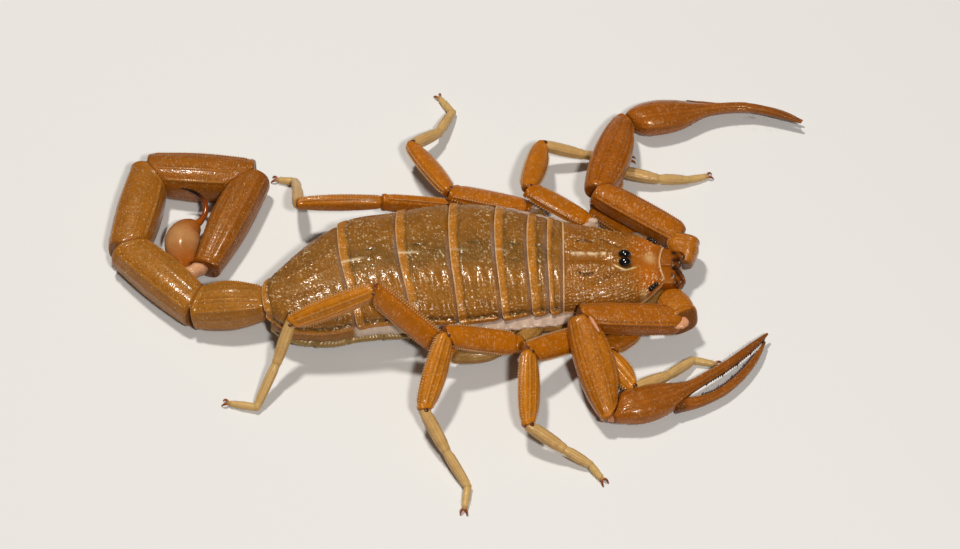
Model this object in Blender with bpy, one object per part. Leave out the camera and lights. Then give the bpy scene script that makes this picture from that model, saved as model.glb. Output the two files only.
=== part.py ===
"""Bark scorpion, a grown female of the desert, standing still with its tail laid in a flat curl.

The model is life size. X runs toward the head, Y toward the animal's left and Z up, and the floor
is at Z = 0. Lengths below are in millimetres, and every mesh is turned into metres as it is made.
The shell is divided where the animal's own plates and limb segments meet.
"""
import math

import bmesh
import bpy
import numpy as np

MM = 0.001

# Clear space between pieces that touch on the animal.
GAP = 0.16

# How far a mitred corner may stand out past its ring, in radii.
CORNER_LIMIT = 0.24

# Where the middle of the finished model's box lies in the coordinates used below.
MIDDLE = (0.405, 0.36)

# The trunk, from the tail joint to the front margin of the head shield: distance forward, centre
# line to the left, half width, height of the plates' side edge, height of the back, and how far
# the rings lag toward the left for each millimetre across, where the body bends to the right.
TRUNK = np.array((
    (-13.25, -1.75, 1.30, 2.45, 3.45, 0.00),
    (-12.3, -1.70, 2.35, 2.40, 3.85, 0.12),
    (-10.7, -1.13, 3.35, 2.42, 4.20, 0.23),
    (-9.4, -0.55, 3.95, 2.50, 4.38, 0.24),
    (-7.6, 0.30, 4.42, 2.60, 4.52, 0.17),
    (-3.6, 0.95, 4.75, 2.70, 4.70, 0.12),
    (-0.05, 1.26, 5.08, 2.75, 4.75, 0.06),
    (3.1, 1.38, 4.85, 2.75, 4.65, 0.04),
    (5.3, 1.32, 4.42, 2.70, 4.55, 0.02),
    (7.7, 1.10, 3.95, 2.65, 4.45, 0.00),
    (11.9, 0.90, 3.20, 2.55, 4.20, 0.00),
    (13.3, 0.88, 2.70, 2.60, 3.90, 0.00),
    (14.1, 0.86, 2.00, 2.90, 3.65, 0.00),
    (14.5, 0.85, 1.55, 3.05, 3.50, 0.00),
))
PLATE_THICKNESS = 0.45
PLATE_ROUNDING = 0.8
CARAPACE_ROWS = (7.75, 8.8, 9.9, 10.8, 11.3, 11.9, 12.5, 13.1, 13.7, 14.15, 14.5)
CARAPACE_NOTCH = 0.22
TERGITE_LIFT = 0.1
TERGITE_EDGES = (7.6, 6.6, 5.3, 3.1, -0.05, -3.55, -7.6, -13.2)
# How far in from the plates' side edges the soft membrane bulges, from the rear to the front.
MEMBRANE_REACH = ((-13.0, 0.25), (-4.0, 0.20), (0.5, 0.0), (4.0, -0.36), (7.4, -0.25))
MEMBRANE_TUCK = 0.6
MEMBRANE_ROWS = (7.4, 5.3, 3.2, 1.2, 0.4, -0.1, -2.0, -5.3, -8.1, -10.2, -11.6, -12.5, -12.95)
BREAST_HEIGHT = 0.75
BELLY_HEIGHT = 0.5
BELLY_HEIGHT_OVER_COMBS = 0.88
COMB_REACH = (-4.6, -3.6)
STERNITE_TOP = 1.2
STERNITE_RIM = 0.3
STERNITE_FRONT = -0.2
STERNITE_GROOVES = (-2.9, -5.7, -8.3, -10.6)
STERNITE_REAR = -13.0
GROOVE_DEPTH = 0.12
COXA_TOP = 2.1

# The underside of the head from the rear: distance forward and half width.
BREAST = np.array((
    (0.6, 0.9), (1.2, 2.2), (3.0, 3.9), (5.5, 4.5), (7.8, 4.5), (9.2, 3.9), (11.0, 3.3), (13.0, 2.3),
    (13.8, 1.4),
))

# Joint centres of each leg: hip, knee, shin, ankle, heel and toe.
LEGS = {
    "right_1": ((12.9, -3.20, 1.40), (10.35, -5.15, 1.40), (12.5, -8.3, 1.40), (14.8, -7.0, 0.95),
                (16.7, -5.3, 0.36), (18.2, -5.5, 0.21)),
    "right_2": ((9.4, -3.9, 1.45), (5.15, -6.8, 3.60), (5.1, -11.9, 2.20), (7.5, -13.1, 1.10),
                (9.7, -14.2, 0.36), (10.6, -15.3, 0.21)),
    "right_3": ((4.6, -5.00, 1.90), (-0.60, -5.80, 4.20), (-2.1, -10.8, 2.40), (-0.6, -13.3, 1.20),
                (0.9, -15.7, 0.36), (0.7, -17.3, 0.21)),
    "right_4": ((-0.3, -5.6, 1.60), (-5.6, -3.4, 6.20), (-11.4, -4.55, 4.00), (-12.4, -6.6, 2.00),
                (-13.8, -9.2, 0.36), (-15.7, -8.8, 0.21)),
    "left_1": ((13.1, 4.9, 1.15), (10.1, 7.3, 1.20), (11.9, 10.6, 1.20), (14.6, 10.2, 0.80),
               (17.3, 10.45, 0.36), (18.7, 10.9, 0.21)),
    "left_2": ((9.6, 5.7, 1.60), (5.2, 7.4, 3.40), (6.3, 12.2, 2.20), (9.2, 12.2, 1.10),
               (11.3, 12.4, 0.36), (12.6, 12.4, 0.21)),
    "left_3": ((5.5, 7.05, 1.50), (-0.4, 7.30, 3.15), (-3.2, 12.2, 2.20), (-1.3, 14.1, 1.20),
               (-0.3, 16.6, 0.36), (-1.2, 18.0, 0.21)),
    "left_4": ((1.7, 6.95, 1.35), (-5.3, 6.60, 2.90), (-11.25, 6.35, 3.10), (-11.4, 8.5, 1.75),
               (-11.7, 10.3, 0.36), (-12.9, 10.55, 0.21)),
}
# Where each leg's coxa starts under the body, from the centre line outward.
COXA_ROOTS = {"1": (11.6, 1.3, 1.35), "2": (9.0, 1.4, 1.40), "3": (6.6, 1.4, 1.45), "4": (4.8, 1.3, 1.45)}
# How far each coxa bows out sideways, and its half breadth and half depth.
COXA_BOW = {"right_3": 0.4, "left_3": 0.4, "right_4": 1.9, "left_4": 1.2}
COXA_BREADTH = (0.62, 0.80, 0.66)
COXA_DEPTH = (0.55, 0.60, 0.58)
PALP_COXA_BREADTH = (0.70, 0.80, 0.78)
PALP_COXA_DEPTH = (0.60, 0.66, 0.66)
BODY_LINE = 1.0

# Half breadth in the plane the leg bends in and half thickness across it, at start, middle, end.
FEMUR_BREADTH = (0.58, 0.86, 0.66)
FEMUR_THICKNESS = (0.50, 0.50, 0.48)
PATELLA_BREADTH = (0.60, 0.76, 0.50)
PATELLA_THICKNESS = (0.48, 0.52, 0.42)
PATELLA_FULLNESS = {"right_2": 1.06, "right_3": 1.12, "left_4": 0.85}
FOOT_RADII = (0.44, 0.42, 0.36, 0.33, 0.29, 0.27, 0.24)
CLAW_LENGTH = 0.55
CLAW_SPREAD = 0.24
CLAW_DROP = 0.22

# Joint centres of each pincer arm: hip, shoulder, elbow, wrist, and the palm's far end.
PALPS = {
    "right": ((14.9, -1.0, 1.60), (16.0, -3.2, 2.30), (8.85, -4.0, 3.75), (10.8, -10.7, 1.35),
              (15.1, -9.35, 1.08)),
    "left": ((15.9, 2.3, 1.60), (16.3, 3.8, 2.20), (10.2, 7.1, 3.40), (12.4, 15.1, 1.40),
             (16.9, 16.05, 1.08)),
}
PALP_COXA_ROOTS = {"right": (12.0, -0.2, 1.35), "left": (12.2, 1.9, 1.35)}
# Finger paths, from the palm to the tip.
FIXED_FINGERS = {
    "right": ((16.4, -8.05, 1.15), (18.7, -6.40, 1.05), (20.6, -4.75, 0.95), (22.0, -3.35, 0.85)),
    "left": ((18.5, 16.15, 1.25), (21.0, 16.45, 1.20), (23.2, 16.05, 1.12), (25.3, 15.20, 1.00)),
}
MOVABLE_FINGERS = {
    "right": ((15.9, -9.65, 0.80), (17.4, -9.05, 0.72), (18.65, -8.35, 0.70), (19.8, -7.25, 0.70),
              (21.0, -5.50, 0.70), (21.8, -3.95, 0.70)),
    "left": ((17.35, 17.00, 0.80), (18.9, 17.00, 0.75), (21.1, 17.10, 0.70), (23.4, 16.70, 0.65),
             (25.45, 15.80, 0.60)),
}
PALP_TROCHANTER = (0.95, 1.18, 1.02)
PALP_FEMUR_BREADTH = (0.80, 0.98, 0.86)
PALP_FEMUR_THICKNESS = (0.75, 0.90, 0.85)
PALP_PATELLA_BREADTH = (1.02, 1.45, 0.72)
PALP_PATELLA_THICKNESS = (0.80, 0.95, 0.70)
# Half width and half height of the hand, from the wrist over the palm to the fixed finger's tip.
PALM_STEPS = (0.2, 0.5, 0.78)
PALM_TURN = 0.1
HAND_HALF_WIDTHS = (0.45, 0.62, 1.00, 1.28, 1.08, 0.52, 0.50, 0.47, 0.42, 0.36, 0.17)
HAND_HALF_HEIGHTS = (0.45, 0.62, 0.92, 1.12, 0.95, 0.55, 0.50, 0.46, 0.42, 0.36, 0.17)
FINGER_RADII = (0.28, 0.40, 0.38, 0.36, 0.34, 0.32, 0.27, 0.14)

# Joint centres of the tail, from the trunk to the sting's segment.
TAIL_JOINTS = ((-13.2, -1.62, 2.10), (-18.2, -1.55, 1.46), (-23.3, 3.3, 1.42), (-22.05, 10.1, 1.42),
               (-14.8, 9.60, 1.42), (-17.7, 1.90, 1.32))
TAIL_HALF_WIDTHS = ((1.05, 1.58, 1.42), (1.42, 1.60, 1.45), (1.45, 1.62, 1.45), (1.45, 1.60, 1.42),
                    (1.45, 1.52, 1.04))
TAIL_FLATNESS = 0.95
VESICLE_PATH = ((-19.02, 1.95, 1.20), (-19.3, 2.65, 1.20), (-19.5, 3.60, 1.20), (-19.5, 4.40, 1.20),
                (-19.15, 5.20, 1.25), (-18.6, 5.80, 1.32))
VESICLE_HALF_WIDTHS = (0.40, 0.62, 0.98, 1.03, 0.76, 0.42)
VESICLE_HALF_HEIGHTS = (0.55, 0.85, 1.16, 1.16, 0.86, 0.45)
STING_PATH = ((-18.33, 5.98, 1.38), (-17.96, 6.7, 1.50), (-18.0, 7.4, 1.70), (-18.45, 7.92, 1.92),
              (-19.1, 8.2, 2.12), (-19.75, 8.28, 2.30))
STING_RADII = (0.34, 0.30, 0.26, 0.22, 0.16, 0.07)

EYE_CENTRES = {"right": (11.9, 0.33, 4.41), "left": (11.9, 1.01, 4.41)}
EYE_RADIUS = 0.32
EYE_HILL = (11.9, 0.67, 0.75)
EYE_HILL_HEIGHT = 0.22
SIDE_EYE_X = 13.9
SIDE_EYE_TURN = 32.0
SIDE_EYE_SIZE = (0.36, 0.17, 0.16)

CHELICERA_START = 14.68
CHELICERA_LENGTH = 1.45
CHELICERA_LINE = 0.90
CHELICERA_HALF_WIDTH = 0.72
CHELICERA_HALF_HEIGHT = 0.62
CHELICERA_HEIGHT = 2.85
# Share of the length, drop of the middle line and share of the full girth.
CHELICERA_PROFILE = (
    (0.0, 0.0, 0.8), (0.12, 0.0, 1.0), (0.4, 0.02, 1.0), (0.7, 0.08, 0.92), (0.9, 0.2, 0.66), (1.0, 0.3, 0.3),
)

PECTEN_ROOT = (0.1, 0.5)
PECTEN_HEADING = (-0.62, 0.78)
PECTEN_TEETH = 18
PECTEN_LENGTH = 5.4
PECTEN_WIDTH = 1.15
PECTEN_THICKNESS = 0.5
PECTEN_HEIGHT = 0.18

# Colour, roughness: every part is plain shell, with no metal in it.
FINISHES = {
    "back_plate": ((0.30, 0.14, 0.035), 0.42),
    "head_plate": ((0.36, 0.15, 0.03), 0.42),
    "membrane": ((0.45, 0.36, 0.32), 0.5),
    "belly_plate": ((0.42, 0.30, 0.10), 0.4),
    "limb": ((0.45, 0.19, 0.035), 0.38),
    "foot": ((0.50, 0.33, 0.12), 0.45),
    "pincer": ((0.40, 0.14, 0.03), 0.35),
    "tail": ((0.40, 0.19, 0.05), 0.4),
    "vesicle": ((0.45, 0.27, 0.09), 0.25),
    "sting": ((0.12, 0.015, 0.008), 0.25),
    "eye": ((0.01, 0.01, 0.012), 0.08),
    "jaw": ((0.40, 0.18, 0.03), 0.35),
}


def unit(vector):
    """The same direction, one long."""
    vector = np.asarray(vector, float)
    return vector / np.linalg.norm(vector)


def smooth_curve(where, knots, values):
    """Cubic curve through the values at the knots, with each slope taken from the neighbours."""
    knots = np.asarray(knots, float)
    values = np.asarray(values, float)
    slopes = np.gradient(values, knots, axis=0)
    left = np.clip(np.searchsorted(knots, where, side="right") - 1, 0, len(knots) - 2)
    span = knots[left + 1] - knots[left]
    t = (where - knots[left]) / span
    if values.ndim > 1:
        t = t[:, None]
        span = span[:, None]
    rise = t * t * (3 - 2 * t)
    start_pull = t * (1 - t) ** 2 * span
    end_pull = t * t * (t - 1) * span
    level = values[left] * (1 - rise) + values[left + 1] * rise
    return level + slopes[left] * start_pull + slopes[left + 1] * end_pull


def along(points, count):
    """Evenly spaced points on a smooth curve through the given ones."""
    points = np.asarray(points, float)
    steps = np.linalg.norm(np.diff(points, axis=0), axis=1)
    knots = np.concatenate(((0.0,), np.cumsum(steps)))
    return smooth_curve(np.linspace(0.0, knots[-1], count), knots, points)


def material(name):
    """The named finish as a material, made once."""
    found = bpy.data.materials.get(name)
    if found:
        return found
    colour, roughness = FINISHES[name]
    made = bpy.data.materials.new(name)
    made.use_nodes = True
    shader = made.node_tree.nodes["Principled BSDF"]
    shader.inputs["Base Color"].default_value = (*colour, 1.0)
    shader.inputs["Roughness"].default_value = roughness
    shader.inputs["Metallic"].default_value = 0.0
    return made


def add_piece(name, points, faces, finish):
    """One object from points in millimetres, laid on or above the floor, faces turned outward."""
    points = np.array(points, float)
    points[:, 0] -= MIDDLE[0]
    points[:, 1] -= MIDDLE[1]
    points[:, 2] = np.maximum(points[:, 2], 0.0)
    mesh = bpy.data.meshes.new(name)
    mesh.from_pydata((points * MM).tolist(), [], faces)
    shape = bmesh.new()
    shape.from_mesh(mesh)
    bmesh.ops.triangulate(shape, faces=shape.faces)
    bmesh.ops.recalc_face_normals(shape, faces=shape.faces)
    shape.to_mesh(mesh)
    shape.free()
    mesh.shade_smooth()
    mesh.set_sharp_from_angle(angle=math.radians(40.0))
    mesh.materials.append(material(finish))
    piece = bpy.data.objects.new(name, mesh)
    bpy.context.scene.collection.objects.link(piece)
    return piece


def ring_faces(rings, sides):
    """Quads between closed rings of points that follow each other in one list."""
    faces = []
    for ring in range(rings - 1):
        for side in range(sides):
            after = (side + 1) % sides
            low = ring * sides
            high = low + sides
            faces.append((low + side, low + after, high + after, high + side))
    return faces


def closed_loft(rings):
    """Points and faces of a closed body through an array of rings, each end fanned to its middle."""
    rings = np.asarray(rings, float)
    count, sides = rings.shape[:2]
    points = rings.reshape(-1, 3)
    faces = ring_faces(count, sides)
    points = np.vstack((points, rings[0].mean(axis=0), rings[-1].mean(axis=0)))
    first = count * sides
    last = (count - 1) * sides
    for side in range(sides):
        after = (side + 1) % sides
        faces.append((after, side, first))
        faces.append((last + side, last + after, first + 1))
    return points, faces


def cross_rings(path, breadth, thickness, normal, sides, power=1.0):
    """Rounded rings square to a path: breadth lies across the normal, thickness along it.

    A power of 1 gives an ellipse, and a smaller one a squarer section.
    """
    path = np.asarray(path, float)
    heading = np.gradient(path, axis=0)
    heading /= np.linalg.norm(heading, axis=1)[:, None]
    across = np.cross(np.asarray(normal, float), heading)
    across /= np.linalg.norm(across, axis=1)[:, None]
    facing = np.cross(heading, across)
    turn = np.arange(sides) * 2 * math.pi / sides + math.pi / sides
    wide = np.sign(np.cos(turn)) * np.abs(np.cos(turn)) ** power
    deep = np.sign(np.sin(turn)) * np.abs(np.sin(turn)) ** power
    offset = across[:, None] * (wide[None, :] * np.asarray(breadth)[:, None])[:, :, None]
    offset = offset + facing[:, None] * (deep[None, :] * np.asarray(thickness)[:, None])[:, :, None]
    return path, offset


def mitre(rings, path, offset, joint, heading, neighbour, at_end, reach):
    """Slides the rings near one end along the limb, so that the end lies on the joint's bisecting plane."""
    plane = unit(unit(heading) + unit(neighbour))
    lean = float(plane @ unit(heading))
    slide = -(offset @ plane) / lean
    limit = CORNER_LIMIT * np.linalg.norm(offset, axis=2)
    sign = 1.0 if at_end else -1.0
    slide = sign * np.minimum(sign * slide, limit)
    slide -= sign * GAP / 2 / lean
    away = np.linalg.norm(path - np.asarray(joint, float), axis=1)
    share = np.clip(1.0 - away / reach, 0.0, 1.0) ** 2
    return rings + (slide * share[:, None])[:, :, None] * unit(heading)


def swell(t, sizes):
    """Smooth size along a limb from its values at the start, the middle and the end."""
    return smooth_curve(t, (0.0, 0.5, 1.0), sizes)


def limb(name, start, end, breadth, thickness, normal, before, after, finish, sides=8, power=1.0, blunt=0.7):
    """One limb segment with blunt rounded ends, mitred against the segments before and after it."""
    start = np.asarray(start, float)
    end = np.asarray(end, float)
    length = np.linalg.norm(end - start)
    rim = 0.22 / length
    t = np.array((0.0, rim, 0.25, 0.5, 0.75, 1.0 - rim, 1.0))
    ends = np.array((blunt, 1.0, 1.0, 1.0, 1.0, 1.0, blunt))
    path = start + np.outer(t, end - start)
    path, offset = cross_rings(path, swell(t, breadth) * ends, swell(t, thickness) * ends, normal, sides, power)
    rings = path[:, None] + offset
    reach = 0.8 * length
    heading = end - start
    rings = mitre(rings, path, offset, start, heading, heading if before is None else before, False, reach)
    rings = mitre(rings, path, offset, end, heading, heading if after is None else after, True, reach)
    return add_piece(name, *closed_loft(rings), finish)


def trunk_at(forward):
    """Centre line, half width, edge height, back height and lag at the given distances forward."""
    columns = smooth_curve(np.asarray(forward, float), TRUNK[:, 0], TRUNK[:, 1:])
    return columns.T


def arch(forward, turns, inset):
    """Points of the back, inset by a depth: a turn of 0 is the right edge and of pi the left one."""
    centre, half_width, edge, back, lag = trunk_at(forward)
    across = -np.sign(np.cos(turns)) * np.abs(np.cos(turns)) ** PLATE_ROUNDING
    rise = np.sin(turns) ** PLATE_ROUNDING
    out = (half_width[:, None] - inset) * across[None, :]
    z = edge[:, None] + (back[:, None] - edge[:, None] - inset) * rise[None, :]
    x = np.asarray(forward, float)[:, None] - lag[:, None] * out
    return np.stack((x, centre[:, None] + out, z), axis=2)


def plate_between(outer, inner):
    """Points and faces of a shell plate closed between two grids of the same size."""
    rows, columns = outer.shape[:2]
    points = np.vstack((outer.reshape(-1, 3), inner.reshape(-1, 3)))
    below = rows * columns
    faces = []
    for row in range(rows - 1):
        for column in range(columns - 1):
            corner = row * columns + column
            quad = (corner, corner + 1, corner + columns + 1, corner + columns)
            faces.append(quad)
            faces.append(tuple(below + index for index in reversed(quad)))
    border = [(0, column) for column in range(columns)]
    border += [(row, columns - 1) for row in range(1, rows)]
    border += [(rows - 1, column) for column in range(columns - 2, -1, -1)]
    border += [(row, 0) for row in range(rows - 2, 0, -1)]
    loop = [row * columns + column for row, column in border]
    for here, there in zip(loop, loop[1:] + loop[:1]):
        faces.append((there, here, below + here, below + there))
    return points, faces


def add_tergites():
    """The seven back plates, each a little raised toward its rear margin."""
    turns = np.linspace(0.0, math.pi, 11)
    for number, (front, rear) in enumerate(zip(TERGITE_EDGES, TERGITE_EDGES[1:]), start=1):
        rows = 7 if number == 7 else 3
        forward = np.linspace(front - GAP / 2, rear + GAP / 2, rows)
        rim = np.linspace(0.0, TERGITE_LIFT, rows)
        outer = arch(forward, turns, 0.0)
        outer[:, 1:-1, 2] += rim[:, None]
        inner = arch(forward, turns, PLATE_THICKNESS)
        add_piece(f"tergite_{number}", *plate_between(outer, inner), "back_plate")


def add_carapace():
    """The head shield, solid down to the coxae, with the low hill that bears the middle eyes."""
    turns = np.linspace(0.0, math.pi, 15)
    forward = np.array(CARAPACE_ROWS)
    outer = arch(forward, turns, 0.0)
    away = np.hypot(outer[:, :, 0] - EYE_HILL[0], outer[:, :, 1] - EYE_HILL[1])
    outer[:, :, 2] += EYE_HILL_HEIGHT * np.exp(-(away / EYE_HILL[2]) ** 2)
    across = (outer[-1, :, 1] - trunk_at(forward[-1:])[0]) / trunk_at(forward[-1:])[1]
    outer[-1, :, 0] -= CARAPACE_NOTCH * (1.0 - across ** 2)
    under = outer.copy()
    under[:, :, 2] = COXA_TOP + GAP
    under[:, :, 1] = outer[:, :, 1] * 0.94 + 0.06 * BODY_LINE
    add_piece("carapace", *plate_between(outer, under), "head_plate")


def add_membrane():
    """The soft body between the back plates and the belly plates, bulging at the sides."""
    forward = np.array(MEMBRANE_ROWS)
    turns = np.linspace(0.0, math.pi, 9)
    top = arch(forward, turns, PLATE_THICKNESS + GAP)
    centre, half_width, edge, _, lag = trunk_at(forward)
    low = np.where(forward > 0.2, COXA_TOP + 2 * GAP, STERNITE_TOP + GAP)
    shoulder = edge - GAP

    def corner(inset, height, side):
        out = side * (half_width - inset)
        return np.stack((forward - lag * out, centre + out, height), axis=1)[:, None]

    middle = 0.5 * (low + shoulder)
    inset = np.interp(forward, *np.transpose(MEMBRANE_REACH))
    right = [corner(MEMBRANE_TUCK, low, -1), corner(inset, middle, -1), corner(inset + 0.1, shoulder, -1),
             corner(PLATE_THICKNESS + GAP, shoulder, -1)]
    left = [corner(PLATE_THICKNESS + GAP, shoulder, 1), corner(inset + 0.1, shoulder, 1),
            corner(inset, middle, 1), corner(MEMBRANE_TUCK, low, 1)]
    rings = np.concatenate(right + [top] + left, axis=1)
    points, faces = closed_loft(rings)
    points[-2:, 2] = 0.5 * (low[[0, -1]] + shoulder[[0, -1]])
    add_piece("pleural_membrane", points, faces, "membrane")


def add_sternites():
    """The belly plates in one piece: a shallow tray with a groove where two plates meet."""
    grooves = np.array(STERNITE_GROOVES)
    forward = [STERNITE_FRONT]
    for groove in grooves:
        forward += [groove + 0.3, groove, groove - 0.3]
    forward = np.array(forward + [STERNITE_REAR + 0.8, STERNITE_REAR])
    turns = np.linspace(0.0, math.pi, 9)
    centre, half_width, _, _, lag = trunk_at(forward)
    sunk = np.where(np.isin(forward, grooves), GROOVE_DEPTH, 0.0)
    taper = np.interp(forward, (STERNITE_REAR, grooves[-1]), (0.35, 0.0))
    low = np.interp(forward, COMB_REACH, (BELLY_HEIGHT, BELLY_HEIGHT_OVER_COMBS))
    out = -(half_width[:, None] - sunk[:, None]) * np.cos(turns)[None, :]
    drop = STERNITE_TOP - STERNITE_RIM - low
    z = STERNITE_TOP - STERNITE_RIM - (drop - sunk)[:, None] * np.sin(turns)[None, :] ** 0.6 + taper[:, None]
    bottom = np.stack((forward[:, None] - lag[:, None] * out, centre[:, None] + out, z), axis=2)
    lid = bottom.copy()
    lid[:, :, 2] = STERNITE_TOP
    lid[:, :, 1] = centre[:, None] + out * 0.97
    add_piece("sternites", *plate_between(bottom, np.maximum(lid, bottom + (0.0, 0.0, 0.1))), "belly_plate")


def merge(base, others):
    """Joins other closed pieces into the base with exact unions, and removes them."""
    for other in others:
        union = base.modifiers.new(other.name, "BOOLEAN")
        union.operation = "UNION"
        union.solver = "EXACT"
        union.object = other
    view = bpy.context.evaluated_depsgraph_get()
    mesh = bpy.data.meshes.new_from_object(base.evaluated_get(view))
    base.modifiers.clear()
    base.data = mesh
    for other in others:
        bpy.data.objects.remove(other)


def coxa_root(leg):
    """Where a leg's coxa starts, mirrored about the body's centre line for the left side."""
    side, number = leg.split("_")
    x, out, z = COXA_ROOTS[number]
    return np.array((x, BODY_LINE + (out if side == "left" else -out), z))


def coxa(name, root, hip, after, bow, breadth, depth):
    """One coxa: a lobe from under the body to the limb's hip, bowed outward in its middle."""
    root = np.asarray(root, float)
    hip = np.asarray(hip, float)
    outward = math.copysign(1.0, hip[1] - BODY_LINE)
    middle = 0.5 * (root + hip) + np.array((0.0, bow * outward, 0.0))
    path = along((root, middle, hip), 7)
    t = np.linspace(0.0, 1.0, len(path))
    path, offset = cross_rings(path, swell(t, breadth), swell(t, depth), (0.0, 0.0, 1.0), 8)
    reach = np.linalg.norm(hip - middle)
    rings = mitre(path[:, None] + offset, path, offset, hip, hip - middle, after, True, reach)
    return add_piece(f"coxa_{name}", *closed_loft(rings), "belly_plate")


def add_coxosternum():
    """The underside of the head: breastplate and the eight coxae, with the pincer arms' two coxae."""
    forward = BREAST[:, 0]
    half = BREAST[:, 1]
    turns = np.arange(10) * 2 * math.pi / 10 + math.pi / 10
    middle = 0.5 * (COXA_TOP + BREAST_HEIGHT)
    tall = 0.5 * (COXA_TOP - BREAST_HEIGHT)
    wide = np.sign(np.cos(turns)) * np.abs(np.cos(turns)) ** 0.7
    deep = np.sign(np.sin(turns)) * np.abs(np.sin(turns)) ** 0.6
    x = np.repeat(forward[:, None], len(turns), axis=1)
    y = BODY_LINE + half[:, None] * wide[None, :]
    z = np.repeat((middle + tall * deep)[None, :], len(forward), axis=0)
    base = add_piece("coxosternum", *closed_loft(np.stack((x, y, z), axis=2)), "belly_plate")
    lobes = []
    for leg, joints in LEGS.items():
        root = coxa_root(leg)
        knee = np.subtract(joints[1], joints[0])
        bow = COXA_BOW.get(leg, 0.1)
        lobes.append(coxa(leg, root, joints[0], knee, bow, COXA_BREADTH, COXA_DEPTH))
    for side, joints in PALPS.items():
        arm = np.subtract(joints[1], joints[0])
        lobes.append(coxa(side, PALP_COXA_ROOTS[side], joints[0], arm, 0.0, PALP_COXA_BREADTH, PALP_COXA_DEPTH))
    merge(base, lobes)


def bend_normal(first, second):
    """The axis a limb bends about, pointing up: the thin way through both segments."""
    axis = unit(np.cross(first, second))
    return axis if axis[2] > 0 else -axis


def add_foot(name, joints, before, normal):
    """Shin, ankle and heel segments in one bent tube that ends in two small claws."""
    shin, ankle, heel, toe = (np.asarray(joint, float) for joint in joints)
    start = unit(ankle - shin)
    corners = [shin, shin + 0.25 * start, 0.5 * (shin + ankle), ankle, 0.5 * (ankle + heel), heel, toe]
    sides = 6
    radii = np.array(FOOT_RADII)
    radii[0] *= 0.75
    path, offset = cross_rings(corners, radii, radii, normal, sides)
    rings = path[:, None] + offset
    rings = mitre(rings, path, offset, shin, ankle - shin, before, False, 0.8 * np.linalg.norm(ankle - shin))
    points, faces = closed_loft(rings)
    last = (len(path) - 1) * sides
    ahead = unit(toe - heel)
    across = unit(np.cross((0.0, 0.0, 1.0), ahead))
    claws = toe + ahead * CLAW_LENGTH - (0.0, 0.0, CLAW_DROP)
    tips = [claws - across * CLAW_SPREAD, claws + across * CLAW_SPREAD]
    faces = [face for face in faces if len(points) - 1 not in face]
    points = np.vstack((points[:-1], tips))
    left_tip = len(points) - 1
    right_tip = left_tip - 1
    reach = (rings[-1] - toe) @ across
    order = np.argsort(reach)
    right = set(order[: sides // 2].tolist())
    for side in range(sides):
        after = (side + 1) % sides
        here, there = last + side, last + after
        if side in right and after in right:
            faces.append((here, there, right_tip))
        elif side not in right and after not in right:
            faces.append((here, there, left_tip))
        elif side in right:
            faces.append((here, there, right_tip))
            faces.append((right_tip, there, left_tip))
        else:
            faces.append((here, there, left_tip))
            faces.append((left_tip, there, right_tip))
    add_piece(name, points, faces, "foot")


def add_legs():
    """Femur, patella and foot of all eight legs."""
    for leg, joints in LEGS.items():
        hip, knee, shin, ankle, heel, toe = (np.asarray(joint, float) for joint in joints)
        coxa = hip - coxa_root(leg)
        femur = knee - hip
        patella = shin - knee
        tibia = ankle - shin
        normal = bend_normal(femur, patella)
        limb(f"leg_{leg}_femur", hip, knee, FEMUR_BREADTH, FEMUR_THICKNESS, normal, coxa, patella, "limb")
        breadth = np.array(PATELLA_BREADTH) * PATELLA_FULLNESS.get(leg, 1.0)
        limb(f"leg_{leg}_patella", knee, shin, breadth, PATELLA_THICKNESS, normal, femur, tibia, "limb")
        add_foot(f"leg_{leg}_foot", (shin, ankle, heel, toe), patella, normal)


def add_hand(side, wrist, palm_end, before):
    """The swollen palm, drawn out into the fixed finger."""
    fingers = np.array(FIXED_FINGERS[side])
    axis = unit(palm_end - wrist)
    near, middle, far = (wrist + step * (palm_end - wrist) for step in PALM_STEPS)
    palm = (wrist, wrist + 0.25 * axis, near, middle, far + PALM_TURN * (fingers[0] - palm_end))
    path = np.vstack((palm, fingers[0], along(fingers, 6)[1:]))
    path, offset = cross_rings(path, HAND_HALF_WIDTHS, HAND_HALF_HEIGHTS, (0.0, 0.0, 1.0), 10)
    rings = path[:, None] + offset
    rings = mitre(rings, path, offset, wrist, palm_end - wrist, before, False, 2.0)
    add_piece(f"palp_{side}_hand", *closed_loft(rings), "pincer")


def add_finger(side):
    """The movable finger, a curved blade beside the fixed one."""
    path = along(MOVABLE_FINGERS[side], 8)
    path, offset = cross_rings(path, FINGER_RADII, FINGER_RADII, (0.0, 0.0, 1.0), 8)
    add_piece(f"palp_{side}_finger", *closed_loft(path[:, None] + offset), "pincer")


def add_palps():
    """The two pincer arms, one open in front of the body and one reaching out, closed."""
    up = np.array((0.0, 0.0, 1.0))
    for side, joints in PALPS.items():
        hip, shoulder, elbow, wrist, palm_end = (np.asarray(joint, float) for joint in joints)
        coxa = hip - np.array(PALP_COXA_ROOTS[side])
        steps = (coxa, shoulder - hip, elbow - shoulder, wrist - elbow, palm_end - wrist)
        name = f"palp_{side}_"
        limb(name + "trochanter", hip, shoulder, PALP_TROCHANTER, PALP_TROCHANTER, up, steps[0], steps[2],
             "pincer", sides=10)
        limb(name + "femur", shoulder, elbow, PALP_FEMUR_BREADTH, PALP_FEMUR_THICKNESS, up, steps[1],
             steps[3], "pincer", sides=10, power=0.8)
        limb(name + "patella", elbow, wrist, PALP_PATELLA_BREADTH, PALP_PATELLA_THICKNESS, up, steps[2],
             steps[4], "pincer", sides=10, power=0.85)
        add_hand(side, wrist, palm_end, steps[3])
        add_finger(side)


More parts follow.
